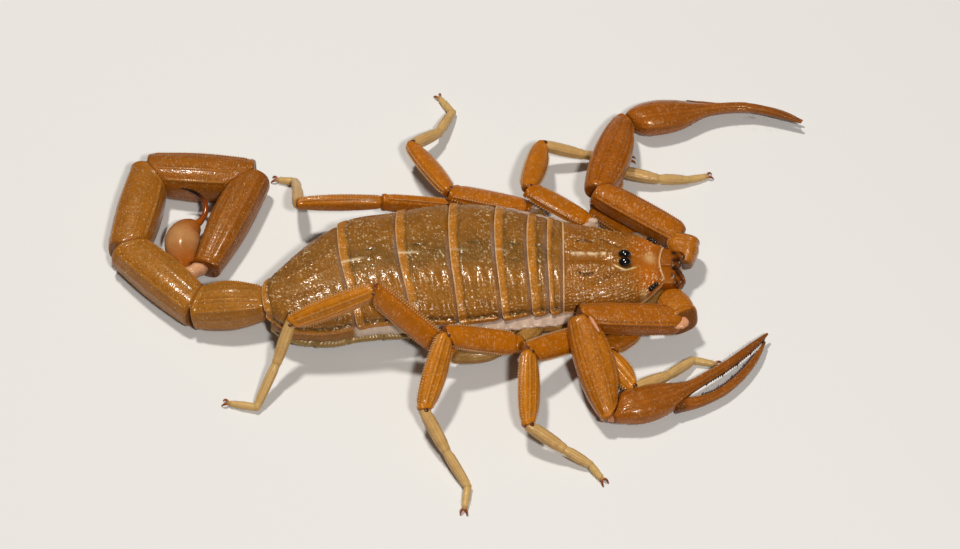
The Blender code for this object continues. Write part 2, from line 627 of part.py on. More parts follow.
def add_tail():
    """Five ringed segments lying on their left side, with the sting's bulb folded back inside the curl."""
    joints = [np.array(joint) for joint in TAIL_JOINTS]
    up = (0.0, 0.0, 1.0)
    for index, half_widths in enumerate(TAIL_HALF_WIDTHS):
        start = joints[index]
        end = joints[index + 1]
        before = start - joints[index - 1] if index else None
        after = joints[index + 2] - end if index < len(TAIL_HALF_WIDTHS) - 1 else None
        flat = tuple(TAIL_FLATNESS * half for half in half_widths)
        limb(f"tail_segment_{index + 1}", start, end, half_widths, flat, up, before, after, "tail", sides=12,
             power=0.85, blunt=0.86)
    path, offset = cross_rings(VESICLE_PATH, VESICLE_HALF_WIDTHS, VESICLE_HALF_HEIGHTS, up, 10)
    add_piece("telson_vesicle", *closed_loft(path[:, None] + offset), "vesicle")
    path, offset = cross_rings(STING_PATH, STING_RADII, STING_RADII, up, 6)
    add_piece("telson_aculeus", *closed_loft(path[:, None] + offset), "sting")


def add_dome(name, centre, size, lean, heading, finish):
    """A half ellipsoid on a flat base: size along, across and up, leaned out and turned to a heading."""
    rise = np.linspace(0.0, math.pi / 2, 4)[:-1]
    turn = np.arange(10) * 2 * math.pi / 10
    x = np.outer(np.cos(rise), np.cos(turn)) * size[0]
    y = np.outer(np.cos(rise), np.sin(turn)) * size[1]
    z = np.repeat(np.sin(rise)[:, None], len(turn), axis=1) * size[2]
    normal = unit(lean)
    forward = unit(np.asarray(heading, float) - normal * float(np.dot(heading, normal)))
    across = np.cross(normal, forward)
    rings = np.asarray(centre) + x[..., None] * forward + y[..., None] * across + z[..., None] * normal
    points, faces = closed_loft(rings)
    points[-1] = np.asarray(centre) + normal * size[2]
    add_piece(name, points, faces, finish)


def add_eyes():
    """Two middle eyes on their hill, and a row of small side eyes at each front corner."""
    size = (EYE_RADIUS, EYE_RADIUS, EYE_RADIUS)
    for side, sign in (("right", -1.0), ("left", 1.0)):
        lean = (0.0, sign * 0.75, 0.8)
        centre = np.array(EYE_CENTRES[side]) + 0.1 * unit(lean)
        add_dome(f"eye_median_{side}", centre, size, lean, (1.0, 0.0, 0.0), "eye")
        turn = math.radians(SIDE_EYE_TURN if sign < 0 else 180.0 - SIDE_EYE_TURN)
        spot = arch(np.array((SIDE_EYE_X,)), np.array((turn,)), 0.0)[0, 0]
        lean = (0.35, sign * 0.7, 0.8)
        row = (1.0, -sign * 0.75, 0.3)
        add_dome(f"eyes_lateral_{side}", spot + 0.12 * unit(lean), SIDE_EYE_SIZE, lean, row, "eye")


def add_chelicerae():
    """The two stubby jaws that stand out side by side from under the head shield."""
    for side, sign in (("right", -1.0), ("left", 1.0)):
        y = CHELICERA_LINE + sign * (CHELICERA_HALF_WIDTH + GAP / 2)
        step, drop, scale = np.transpose(CHELICERA_PROFILE)
        x = CHELICERA_START + CHELICERA_LENGTH * step
        path = np.stack((x, np.full_like(x, y), CHELICERA_HEIGHT - drop), axis=1)
        path, offset = cross_rings(path, CHELICERA_HALF_WIDTH * scale, CHELICERA_HALF_HEIGHT * scale,
                                   (0.0, 0.0, 1.0), 10, 0.85)
        add_piece(f"chelicera_{side}", *closed_loft(path[:, None] + offset), "jaw")


def add_pectens():
    """The two combs under the body, each a thin blade with a row of teeth along its rear edge."""
    for side, sign in (("right", -1.0), ("left", 1.0)):
        root = np.array((PECTEN_ROOT[0], BODY_LINE + sign * PECTEN_ROOT[1]))
        heading = unit((PECTEN_HEADING[0], sign * PECTEN_HEADING[1]))
        rearward = np.array((-heading[1] * sign, heading[0] * sign))
        if rearward[0] > 0:
            rearward = -rearward
        front = [root, root + heading * PECTEN_LENGTH * 0.5 - rearward * 0.15, root + heading * PECTEN_LENGTH]
        rear = []
        for tooth in range(PECTEN_TEETH):
            for part, depth in ((0.1, 0.62), (0.5, 1.0), (0.9, 0.62)):
                share = 1.0 - (tooth + part) / PECTEN_TEETH
                width = PECTEN_WIDTH * (0.55 + 0.45 * math.sin(math.pi * min(1.0, share + 0.1)))
                rear.append(root + heading * PECTEN_LENGTH * share + rearward * width * depth)
        outline = np.array(front + rear)
        count = len(outline)
        low = np.column_stack((outline, np.full(count, PECTEN_HEIGHT)))
        high = low + (0.0, 0.0, PECTEN_THICKNESS)
        faces = [tuple(range(count)), tuple(range(2 * count - 1, count - 1, -1))]
        faces += [(i, (i + 1) % count, count + (i + 1) % count, count + i) for i in range(count)]
        add_piece(f"pecten_{side}", np.vstack((low, high)), faces, "belly_plate")


def main():
    """Clears the scene and builds every piece."""
    for old in list(bpy.data.objects):
        bpy.data.objects.remove(old)
    add_carapace()
    add_eyes()
    add_chelicerae()
    add_tergites()
    add_membrane()
    add_sternites()
    add_coxosternum()
    add_pectens()
    add_legs()
    add_palps()
    add_tail()


main()
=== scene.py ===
"""Bark scorpion, life size, as an add-on that builds every plate, limb, joint and eye in mesh code.

Lengths in the tables are millimetres. X runs toward the head, Y toward the animal's left, Z up.
"""
import collections
import math

import bpy
import numpy as np
from bpy.props import FloatProperty, FloatVectorProperty, PointerProperty
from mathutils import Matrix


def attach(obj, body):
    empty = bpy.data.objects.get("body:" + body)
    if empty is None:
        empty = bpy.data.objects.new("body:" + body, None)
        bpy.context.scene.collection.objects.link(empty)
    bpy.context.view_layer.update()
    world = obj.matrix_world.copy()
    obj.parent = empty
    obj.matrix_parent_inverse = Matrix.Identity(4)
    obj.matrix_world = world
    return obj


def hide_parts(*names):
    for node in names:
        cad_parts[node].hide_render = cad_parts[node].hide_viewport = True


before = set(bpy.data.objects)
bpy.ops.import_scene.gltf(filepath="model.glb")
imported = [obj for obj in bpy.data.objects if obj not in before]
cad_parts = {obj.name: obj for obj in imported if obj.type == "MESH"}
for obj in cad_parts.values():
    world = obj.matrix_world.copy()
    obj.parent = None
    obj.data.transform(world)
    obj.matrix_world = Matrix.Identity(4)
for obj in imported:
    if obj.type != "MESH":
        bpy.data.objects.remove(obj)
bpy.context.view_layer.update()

bl_info = {
    "name": "Bark Scorpion",
    "version": (1, 0, 0),
    "blender": (4, 5, 0),
    "location": "View3D > Sidebar > Scorpion",
    "description": "Builds a life-size desert scorpion at rest from its plates, limbs and joints",
    "category": "Add Mesh",
}

MM = 0.001
UP = np.array((0.0, 0.0, 1.0))
MIDDLE = (0.405, 0.36, 0.0)
BODY = "root"
# Marks on each piece's colour. Dusk darkens: dark joints, pigment and keel rows, and also painted shade in
# grooves and on the far side of the back. Grain lays the glint colour as painted highlights.
MARKS = ("rim", "dusk", "pale", "warm", "grain")
UV_MAP = "OFBake"

# Trunk: distance forward, centre line, half width, edge height, back height, lag per mm across.
TRUNK = np.array((
    (-13.25, -1.75, 1.30, 2.45, 3.45, 0.00),
    (-12.3, -1.85, 2.20, 2.40, 3.85, 0.12),
    (-10.7, -1.39, 3.09, 2.42, 4.20, 0.23),
    (-9.4, -0.83, 3.67, 2.50, 4.38, 0.24),
    (-7.6, 0.11, 4.23, 2.60, 4.52, 0.17),
    (-3.6, 0.81, 4.61, 2.70, 4.70, 0.12),
    (-0.05, 1.12, 4.94, 2.75, 4.75, 0.06),
    (3.1, 1.22, 4.69, 2.75, 4.65, 0.04),
    (5.3, 1.08, 4.18, 2.70, 4.55, 0.02),
    (7.7, 0.90, 3.75, 2.65, 4.45, 0.00),
    (11.9, 0.71, 3.01, 2.55, 4.20, 0.00),
    (13.3, 0.82, 2.64, 2.60, 3.90, 0.00),
    (14.1, 0.86, 2.00, 2.90, 3.65, 0.00),
    (14.8, 1.02, 1.40, 3.00, 3.45, 0.00),
))
PLATE_ROUNDING = 0.8
# Back plates, numbered from 1 at the head: where each begins and ends, and how far these edges bow back.
TERGITE_EDGES = (7.6, 6.6, 5.3, 3.1, -0.05, -3.55, -7.6, -13.2)
TERGITE_BOWS = (0.0, 0.15, 0.28, 0.32, 0.36, 0.48, 0.40, 0.16)
TERGITE_OVERLAP = 0.3
LAST_PLATE = 7
LAST_PLATE_BOW = 0.15
CORNER_SWEEP = 0.32
RIM_SHARES = {1: 0.55, LAST_PLATE: 0.6}
MIDLINE = -0.12
# Strength of the painted highlight along the midline keel's crest, and the share of the plate's length where
# its two pits lie.
CREST_HIGHLIGHT = {3: 0.5, 4: 0.5, 5: 1.4, 6: 1.4}
PIT_PLACES = {2: 0.50, 3: 0.37, 4: 0.45, 5: 0.59, 6: 0.48}
PIT_DISTANCE = 0.72
PIT_DEPTH = 0.07
# Each pair of the last plate's keels: distance from the centre line, start and end.
LAST_PLATE_KEELS = ((1.15, 1.4, 4.6), (2.35, 1.6, 4.9))
# Head shield: its ends and walls, the heights of its features, and two pale spots forward and across.
CARAPACE_REAR = 7.55
CARAPACE_FRONT = 14.8
CARAPACE_NOTCH = 0.30
CARAPACE_WALL_LEAN = 0.12
CARAPACE_WALL_STEPS = (1.0, 0.75, 0.5, 0.25)
HEAD_HEIGHTS = {"furrow": -0.12, "fore": -0.10, "ridges": 0.10, "brow": 0.06, "slit": -0.20, "fold": -0.09}
HEAD_GLOW = (13.72, 1.12)
HEAD_CORNER = (13.25, 2.45)
# Soft sides: distance forward with how far they lie inside the back's edge there, and their folds.
MEMBRANE_REACH = ((-13.0, 0.06), (-4.0, -0.04), (0.5, -0.35), (4.0, -0.75), (7.4, -0.75), (8.3, -0.30))
MEMBRANE_TUCK = 0.45
MEMBRANE_FRONT = 8.35
MEMBRANE_REAR = -12.95
FOLD_SPACING = 0.9
FINE_FOLD_SPACING = 0.43
# Belly plates.
BELLY_HEIGHT = 0.5
BELLY_HEIGHT_OVER_COMBS = 0.88
COMB_REACH = (-4.6, -3.6)
STERNITE_TOP = 1.2
STERNITE_RIM = 0.3
STERNITE_FRONT = -0.2
STERNITE_GROOVES = (-2.9, -5.7, -8.3, -10.6)
STERNITE_REAR = -13.0
BREATHING_SLITS = (-1.6, -4.4, -7.1, -9.6)
BELLY_WALL = (0.34, 0.25, 0.12)
COXA_TOP = 2.1
BREAST_HEIGHT = 0.75
# Breast: distance forward and half width.
BREAST = np.array((
    (0.6, 0.9), (1.2, 2.2), (3.0, 3.9), (5.5, 4.5), (7.8, 4.5), (9.2, 3.9), (11.0, 3.3), (13.0, 2.3),
    (13.8, 1.4),
))
BODY_LINE = 1.0

# Joint centres of each leg: hip, knee, shin, ankle, heel and toe.
LEGS = {
    "right_1": ((12.9, -3.20, 1.40), (10.35, -5.15, 1.40), (12.5, -8.3, 1.40), (14.8, -7.0, 0.95),
                (16.7, -5.3, 0.36), (18.2, -5.5, 0.21)),
    "right_2": ((9.4, -3.9, 1.45), (5.15, -6.8, 3.60), (5.1, -11.9, 2.20), (7.5, -13.1, 1.10),
                (9.35, -13.95, 0.36), (10.1, -14.95, 0.21)),
    "right_3": ((4.6, -5.00, 1.90), (-0.60, -5.80, 4.20), (-2.1, -10.8, 2.40), (-0.6, -13.3, 1.20),
                (0.9, -15.7, 0.36), (0.7, -17.3, 0.21)),
    "right_4": ((-0.3, -5.6, 1.60), (-5.6, -3.4, 6.20), (-11.4, -4.55, 4.00), (-12.4, -6.6, 2.00),
                (-13.8, -9.2, 0.36), (-15.7, -8.8, 0.21)),
    "left_1": ((13.1, 4.9, 1.15), (10.1, 7.3, 1.20), (11.9, 10.6, 1.20), (14.6, 10.2, 0.80),
               (16.85, 10.45, 0.36), (18.2, 10.85, 0.21)),
    "left_2": ((9.6, 5.7, 1.60), (5.2, 7.4, 3.40), (6.3, 12.2, 2.20), (9.2, 12.2, 1.10),
               (11.3, 12.4, 0.36), (12.6, 12.4, 0.21)),
    "left_3": ((5.5, 7.05, 1.50), (-0.4, 7.30, 3.15), (-3.2, 12.2, 2.20), (-1.3, 14.1, 1.20),
               (-0.3, 16.6, 0.36), (-1.2, 18.0, 0.21)),
    "left_4": ((1.7, 6.95, 1.35), (-5.3, 6.60, 2.90), (-11.25, 6.35, 3.10), (-11.4, 8.5, 1.75),
               (-11.7, 10.3, 0.36), (-12.9, 10.55, 0.21)),
}
COXA_ROOTS = {"1": (11.6, 1.3, 1.35), "2": (9.0, 1.4, 1.40), "3": (6.6, 1.4, 1.45), "4": (4.8, 1.3, 1.45)}
COXA_BOW = 0.1
COXA_BOWS = {"right_3": 0.4, "left_3": 0.4, "right_4": 2.3, "left_4": 1.2}
COXA_BREADTH = (0.62, 0.80, 0.66)
COXA_DEPTH = (0.55, 0.60, 0.58)
COXA_SEED = 30
PALP_COXA_SEED = 50
FEMUR_BREADTH = (0.68, 0.78, 0.80, 0.78, 0.70)
FEMUR_THICKNESS = (0.46, 0.48, 0.48, 0.47, 0.44)
PATELLA_BREADTH = (0.52, 0.68, 0.74, 0.68, 0.46)
PATELLA_THICKNESS = (0.44, 0.48, 0.50, 0.46, 0.40)
PATELLA_FULLNESS = {"right_3": 1.03, "left_4": 0.85}
TROCHANTER_BREADTH = (0.52, 0.62, 0.58)
TROCHANTER_THICKNESS = (0.42, 0.46, 0.44)
TROCHANTER_SHARE = 0.08
TROCHANTER_REACH = (0.2, 0.12)
JOINT_PIT_LIFT = 0.34
JOINT_PIT_SIZE = (0.19, 0.17, 0.12)
HIP_SKINS = {"left_2": (0.20, -0.15, 0.42), "left_3": (0.25, -0.25, 0.42)}
HIP_SKIN_SIZE = (0.38, 0.26, 0.24)
TIBIA_RADII = (0.38, 0.40, 0.34)
BASITARSUS_RADII = (0.31, 0.32, 0.27)
TARSUS_RADII = (0.26, 0.27, 0.20)
FOOT_SKINS = (0.27, 0.22)
# Hairs of each foot segment: radius they stand on, count and length.
FOOT_HAIRS = ((0.38, 16, 0.30), (0.30, 18, 0.26), (0.25, 16, 0.22))
CLAW_LENGTH = 0.55
CLAW_SPREAD = 0.24
CLAW_DROP = 0.17
SPUR_REACH = 0.2
SPUR_DROP = 0.14
HAIR_RADIUS = 0.012

# Joint centres of each pincer arm: hip, shoulder, elbow, wrist and end of the palm.
PALPS = {
    "right": ((14.9, -1.0, 1.60), (16.0, -3.2, 2.30), (8.85, -4.0, 3.75), (10.8, -10.7, 1.35),
              (15.1, -9.35, 1.08)),
    "left": ((15.9, 2.3, 1.60), (16.3, 3.8, 2.20), (10.2, 7.1, 3.40), (12.4, 15.1, 1.40),
             (16.9, 16.05, 1.08)),
}
ARM_SEEDS = {"right": 70, "left": 80}
PALP_COXA_ROOTS = {"right": (12.0, -0.2, 1.35), "left": (12.2, 1.9, 1.35)}
PALP_COXA_BREADTH = (0.85, 1.00, 0.95)
PALP_COXA_DEPTH = (0.60, 0.80, 0.85)
FIXED_FINGERS = {
    "right": ((16.4, -8.05, 1.15), (18.7, -6.40, 1.05), (20.6, -4.75, 0.95), (22.0, -3.35, 0.85)),
    "left": ((18.5, 16.15, 1.25), (21.0, 16.45, 1.20), (23.2, 16.05, 1.12), (25.3, 15.20, 1.00)),
}
MOVABLE_FINGERS = {
    "right": ((15.9, -9.50, 0.80), (17.4, -8.85, 0.72), (18.65, -8.15, 0.70), (19.8, -7.10, 0.70),
              (21.0, -5.50, 0.70), (21.8, -3.95, 0.70)),
    "left": ((17.35, 16.80, 0.80), (18.9, 16.75, 0.75), (21.1, 16.80, 0.70), (23.4, 16.45, 0.65),
             (25.45, 15.65, 0.60)),
}
PALP_TROCHANTER = (0.95, 1.18, 1.02)
PALP_FEMUR_BREADTH = (0.86, 0.95, 0.96, 0.94, 0.84)
PALP_FEMUR_THICKNESS = (0.78, 0.86, 0.88, 0.86, 0.80)
PALP_PATELLA_BREADTH = (1.05, 1.34, 1.42, 1.20, 0.62)
PALP_PATELLA_THICKNESS = (0.80, 0.92, 0.94, 0.84, 0.60)
ELBOW_SKIN = (0.80, -0.86, 0.52)
ELBOW_SKIN_SIZE = (0.74, 0.15, 0.22)
ELBOW_SKIN_HEADING = (0.48, -0.88, -0.12)
SHOULDER_SKIN = (-0.38, -0.50, 0.46)
SHOULDER_SKIN_SIZE = (0.72, 0.56, 0.25)
SHOULDER_FOLDS = (((15.6, -1.10, 2.70), (15.46, -1.66, 2.93), (15.18, -2.10, 2.96)),
                  ((15.1, -1.25, 2.62), (14.95, -1.55, 2.72), (14.85, -1.85, 2.78)))
PALM_STEPS = (0.2, 0.5, 0.78)
PALM_TURN = 0.1
HAND_HALF_WIDTHS = (0.46, 0.72, 1.10, 1.34, 1.22, 0.44, 0.36, 0.34, 0.32, 0.26, 0.09)
HAND_HALF_HEIGHTS = (0.42, 0.62, 0.88, 1.00, 0.88, 0.44, 0.38, 0.35, 0.32, 0.26, 0.09)
PALM_SHIFT = {"right": 0.42, "left": -0.15}
FINGER_RADII = (0.54, 0.44, 0.34, 0.31, 0.29, 0.26, 0.20, 0.07)
FINGER_START = {"right": (-0.65, 0.0, 0.10), "left": (-0.5, -0.1, 0.1)}
FIXED_FINGER_GIRTH = (0.38, 0.34, 0.12)
MOVABLE_FINGER_GIRTH = (0.36, 0.29, 0.10)
FINGER_TOOTH_SPACING = 0.19
FINGER_TOOTH = 0.24
FINGER_HAIRS = 14

# Tail: joints from the trunk to the bulb, and each segment's half widths at its start, middle and end.
TAIL_JOINTS = ((-13.2, -1.62, 2.10), (-18.2, -1.55, 1.46), (-23.3, 3.3, 1.42), (-22.05, 10.1, 1.42),
               (-14.8, 9.60, 1.42), (-17.7, 1.90, 1.32))
TAIL_HALF_WIDTHS = ((1.05, 1.58, 1.42), (1.42, 1.60, 1.45), (1.45, 1.62, 1.45), (1.45, 1.60, 1.42),
                    (1.42, 1.44, 0.98))
TAIL_FLATNESS = 0.95
TAIL_SEED = 90
TAIL_WARMTH = (0.0, 0.1, 0.3, 0.7, 0.8)
TAIL_END_SKIN = (-0.85, -0.25, 0.0)
TAIL_END_SKIN_SIZE = (1.25, 0.52, 0.60)
TAIL_END_HEADING = (0.88, 0.47, 0.0)
VESICLE_PATH = ((-18.35, 1.85, 1.20), (-19.02, 1.95, 1.20), (-19.3, 2.65, 1.20), (-19.5, 3.60, 1.20),
                (-19.5, 4.40, 1.20), (-19.15, 5.20, 1.25), (-18.5, 5.85, 1.33))
VESICLE_HALF_WIDTHS = (0.30, 0.52, 0.90, 1.20, 1.28, 1.10, 0.46)
VESICLE_HALF_HEIGHTS = (0.40, 0.57, 0.88, 1.16, 1.18, 0.96, 0.42)
STING_PATH = ((-18.75, 5.62, 1.31), (-18.33, 5.98, 1.38), (-17.96, 6.7, 1.50), (-18.0, 7.4, 1.70),
              (-18.45, 7.92, 1.92), (-19.1, 8.2, 2.12), (-19.75, 8.28, 2.30))
STING_RADII = (0.36, 0.26, 0.21, 0.175, 0.14, 0.10, 0.02)

# Eyes: the middle pair and its hill on the head shield; each side row is a step along the row and a radius.
EYE_X = 11.9
EYE_Z = 4.41
EYE_LINES = {"right": 0.29, "left": 0.86}
EYE_RADIUS = 0.32
EYE_HILL_LINE = 0.67
EYE_HILL_REACH = 0.75
EYE_HILL_HEIGHT = 0.22
EYE_SINK = 0.1
SIDE_EYE_X = 13.9
SIDE_EYE_TURN = 32.0
SIDE_EYES = ((-0.25, 0.20), (0.0, 0.19), (0.24, 0.17))

# Jaws: places along the jaw as a share of its length, with the drop and the size there.
CHELICERA_START = 14.2
CHELICERA_LENGTH = 1.93
CHELICERA_LINE = 0.86
CHELICERA_HALF_WIDTH = 0.77
CHELICERA_HALF_HEIGHT = 0.62
CHELICERA_HEIGHT = 2.62
CHELICERA_PROFILE = np.array((
    (0.0, 0.0, 1.0), (0.2, 0.0, 1.05), (0.45, 0.02, 1.05), (0.65, 0.06, 1.02), (0.80, 0.12, 0.95),
    (0.92, 0.2, 0.82),
))
# Each jaw finger: how far inward and how high it starts, and its length.
JAW_FINGERS = ((0.30, 0.10, 0.62), (-0.28, -0.08, 0.70))
JAW_FINGER_BREADTH = (0.32, 0.26, 0.08)
JAW_FINGER_THICKNESS = (0.30, 0.24, 0.08)
JAW_HAIRS = 22

# Combs.
PECTEN_ROOT = (0.1, 0.5)
PECTEN_HEADING = (-0.62, 0.78)
PECTEN_TEETH = 20
PECTEN_LENGTH = 5.4
PECTEN_WIDTH = 1.15
PECTEN_SHAFT_BREADTH = (0.20, 0.26, 0.26, 0.25, 0.23, 0.19, 0.10)
PECTEN_HEIGHT = 0.18

# Stage: the spot the camera looks at, and square lights with place, size, setting of the power and tint.
LOOK_AT = np.array((1.345, 1.95, 0.0))
LIGHTS = {
    "key": ((-60.0, 90.0, 300.0), 30.0, "key_power", (1.0, 0.98, 0.95)),
    "front": ((60.0, -170.0, 260.0), 28.0, "front_power", (1.0, 1.0, 1.0)),
}
FLOOR_STEPS = 9
FLOOR_ROUGHNESS = 0.9
FLOOR_GLOSS = 0.1
SENSOR_WIDTH = 36.0
CAMERA_RANGE = (0.005, 10.0)


def keels_at(places, height, width, pitch, shine, dark):
    """Like keels at several angles: height, width, tooth spacing or 0, brightness, darkness beside them."""
    return tuple((place, height, width, pitch, shine, dark) for place in places)


# A keel's angle in degrees is 0 on the outer breadth side of a limb and 90 on the side that faces up.
FEMUR_KEELS = keels_at((12, -12, 168, -168), 0.09, 0.05, 0.19, 0.15, 0.25)
# The two middle keels' bright lines are painted highlights.
SHANK_KEELS = FEMUR_KEELS + keels_at((66, 116), 0.05, 0.06, 0.0, 0.60, 0.40)
SHIN_KEELS = (
    *keels_at((30, -30), 0.045, 0.045, 0.15, 0.40, 0.35),
    *keels_at((150, -150), 0.045, 0.045, 0.15, 0.40, 0.25),
    *keels_at((72,), 0.030, 0.045, 0.0, 0.45, 0.12), *keels_at((112,), 0.030, 0.045, 0.0, 0.15, 0.12))
PALP_FEMUR_KEELS = (
    *keels_at((32,), 0.08, 0.08, 0.17, 0.12, 0.45), *keels_at((-32,), 0.09, 0.08, 0.17, 0.12, 0.35),
    *keels_at((148,), 0.09, 0.08, 0.17, 0.15, 0.55), *keels_at((-148,), 0.08, 0.08, 0.18, 0.12, 0.35))
PALP_PATELLA_KEELS = (
    *keels_at((30,), 0.07, 0.07, 0.20, 0.12, 0.45), *keels_at((-35,), 0.07, 0.07, 0.20, 0.12, 0.35),
    *keels_at((153,), 0.08, 0.07, 0.20, 0.20, 0.50), *keels_at((-150,), 0.07, 0.07, 0.20, 0.12, 0.35),
    *keels_at((72,), 0.040, 0.06, 0.0, 0.05, 0.35), *keels_at((127,), 0.045, 0.06, 0.0, 0.05, 0.35))
TROCHANTER_KEELS = keels_at((40, -40, 140, -140), 0.03, 0.09, 0.20, 0.05, 0.0)
COXA_KEELS = keels_at((20, -20, 160, -160), 0.05, 0.09, 0.0, 0.6, 0.3)
HAND_KEELS = keels_at((62, 112, 20, 158, -60, -120), 0.045, 0.09, 0.0, 0.15, 0.22)
FINGER_KEELS = keels_at((45, 135), 0.03, 0.07, 0.0, 0.5, 0.3)
TAIL_KEELS = (
    *keels_at((136, -136), 0.08, 0.10, 0.18, 0.15, 0.16),
    *keels_at((102, -102), 0.05, 0.09, 0.19, 0.12, 0.12), *keels_at((42, -42), 0.07, 0.10, 0.18, 0.15, 0.16),
    *keels_at((14, -14), 0.04, 0.09, 0.19, 0.10, 0.12))
FIRST_TAIL_KEELS = TAIL_KEELS + keels_at((72, -72), 0.06, 0.09, 0.20, 0.25, 0.35)
LAST_TAIL_KEELS = keels_at((128, -128, 104, 82, 60, 38, -38, 8), 0.035, 0.10, 0.17, 0.12, 0.20)

# How each limb segment is made, where it departs from the defaults of segment().
LEG_TROCHANTER = dict(sides=48, power=0.85, grain=0.6, blunt=(0.8, 0.9), radius=0.2, dark_joint=0.3)
LEG_FEMUR = dict(power=0.70, keels=FEMUR_KEELS, grain=0.6, blunt=(0.74, 0.90), radius=(0.35, 0.15),
                 dark_joint=0.45, teeth=0.125, shine=0.6)
LEG_PATELLA = dict(power=0.74, blunt=(0.60, 0.84), radius=(0.5, 0.15), teeth=0.125, shine=0.6)
# The near patellae get the middle keels' painted highlights and more of the lighter warm colour than the far
# ones: painted light on the near side.
NEAR_PATELLA = dict(keels=SHANK_KEELS, warm=0.4)
FAR_PATELLA = dict(keels=FEMUR_KEELS, warm=0.1)
LEG_SKIN = dict(push=0.35, pale=0.55, dusk=0.25)
TIBIA = dict(sides=40, power=0.8, keels=SHIN_KEELS, grain=0.3, blunt=(0.90, 0.96), radius=(0.2, 0.08),
             gap=(-0.08, -0.05), dark_joint=0.15, warm=0.15, teeth=0.045, collar=0.03)
BASITARSUS = dict(sides=36, power=0.85, keels=SHIN_KEELS, grain=0.25, blunt=(0.92, 0.96), radius=(0.15, 0.08),
                  gap=(-0.08, -0.05), dark_joint=0.15, warm=0.05, teeth=0.04, collar=0.03)
TARSUS = dict(sides=30, power=0.95, grain=0.25, blunt=(0.85, 0.6), radius=(0.12, 0.14), gap=(-0.06, 0.0),
              dark_joint=0.2, step=0.06)
ARM_TROCHANTER = dict(sides=112, power=0.62, keels=TROCHANTER_KEELS, blunt=(0.82, 0.78), radius=(0.2, 0.24),
                      warm=0.2, step=0.045, shine=0.5)
ARM_FEMUR = dict(sides=96, power=0.72, keels=PALP_FEMUR_KEELS, grain=0.6, blunt=(0.60, 0.75),
                 gap=(0.0, -0.05), radius=(0.45, 0.25), warm=0.08, teeth=0.08)
ARM_PATELLA = dict(sides=96, keels=PALP_PATELLA_KEELS, grain=0.4, blunt=(0.72, 0.70), radius=(0.55, 0.30),
                   gap=(-0.05, 0.0))
TAIL_SEGMENT = dict(sides=168, power=0.76, grain=0.35, blunt=(0.92, 0.94), gap=(-0.06, -0.02), step=0.056,
                    collar=0.03, dark_joint=0.35, keel_span=(0.28, 0.25), radius=(0.30, 0.22), teeth=0.085,
                    most=(0.12, 0.16))

Tube = collections.namedtuple("Tube", "rings offset marks s")
Shell = collections.namedtuple("Shell", "points quads fans quad_uv fan_uv marks")


def tone(red, green, blue):
    """A colour given as it looks, made linear: ((c + 0.055) / 1.055) ^ 2.4 for each channel."""
    return tuple(((channel + 0.055) / 1.055) ** 2.4 for channel in (red, green, blue))


def colour(name, red, green, blue):
    """A colour setting with its default."""
    return FloatVectorProperty(name=name, description=f"{name} colour", subtype="COLOR", size=3, min=0.0,
                               max=1.0, default=tone(red, green, blue))


def length(name, description, millimetres):
    """A length setting in metres with its default given in millimetres."""
    return FloatProperty(name=name, description=description, default=millimetres * MM, min=0.0, unit="LENGTH",
                         precision=6)


class ScorpionColours(bpy.types.PropertyGroup):
    """Colours of the shell and the soft parts."""

    back: colour("Back plate", 0.535, 0.332, 0.088)
    back_warm: colour("Back plate flank", 0.58, 0.36, 0.10)
    # Back dusk: painted shade on the back plates.
    back_dusk: colour("Back painted shade", 0.30, 0.225, 0.09)
    back_rim: colour("Back rim", 0.70, 0.43, 0.085)
    strip: colour("Strip behind each rim", 0.52, 0.43, 0.38)
    head: colour("Head shield", 0.545, 0.32, 0.055)
    head_front: colour("Head front", 0.665, 0.352, 0.02)
    # Head dark colour: painted shade in the head's grooves and slits, and the dark ring round the eyes.
    head_dark: colour("Head groove shade and eye ring", 0.20, 0.11, 0.05)
    limb: colour("Leg", 0.66, 0.365, 0.01)
    limb_warm: colour("Warm leg", 0.79, 0.50, 0.10)
    limb_ridge: colour("Leg ridge", 0.84, 0.58, 0.25)
    limb_dark: colour("Joint pit", 0.31, 0.11, 0.05)
    foot: colour("Foot", 0.75, 0.61, 0.38)
    foot_ridge: colour("Foot ridge", 0.86, 0.73, 0.50)
    claw: colour("Claw", 0.50, 0.22, 0.08)
    pincer: colour("Pincer arm", 0.60, 0.315, 0.01)
    pincer_ridge: colour("Pincer ridge", 0.76, 0.46, 0.14)
    pincer_dark: colour("Finger tooth", 0.25, 0.10, 0.02)
    hand: colour("Hand", 0.555, 0.305, 0.085)
    tail: colour("Tail", 0.595, 0.368, 0.085)
    tail_ridge: colour("Tail ridge", 0.74, 0.50, 0.20)
    tail_end: colour("Tail underside", 0.54, 0.28, 0.01)
    vesicle: colour("Sting bulb", 0.60, 0.30, 0.03)
    sting: colour("Sting base", 0.50, 0.22, 0.04)
    sting_tip: colour("Sting tip", 0.13, 0.03, 0.02)
    membrane: colour("Soft membrane", 0.70, 0.59, 0.52)
    # Membrane light and dark: painted light and shade on the soft sides' folds; the light one is also their
    # glint colour.
    membrane_light: colour("Membrane pale tone and highlight", 0.86, 0.78, 0.70)
    membrane_dark: colour("Membrane fold shade", 0.46, 0.32, 0.22)
    belly: colour("Belly plate", 0.55, 0.42, 0.20)
    belly_rim: colour("Belly rim", 0.68, 0.57, 0.34)
    eye: colour("Eye", 0.02, 0.022, 0.028)
    rosy: colour("Rosy joint skin", 0.80, 0.51, 0.37)
    jaw: colour("Jaw", 0.51, 0.25, 0.0)
    jaw_gold: colour("Jaw side", 0.60, 0.33, 0.01)
    jaw_dark: colour("Jaw finger", 0.12, 0.05, 0.03)
    # Painted highlight colour, laid by the grain mark and the grain mask as sparkles and glints.
    glint: colour("Painted glint", 0.99, 0.90, 0.72)


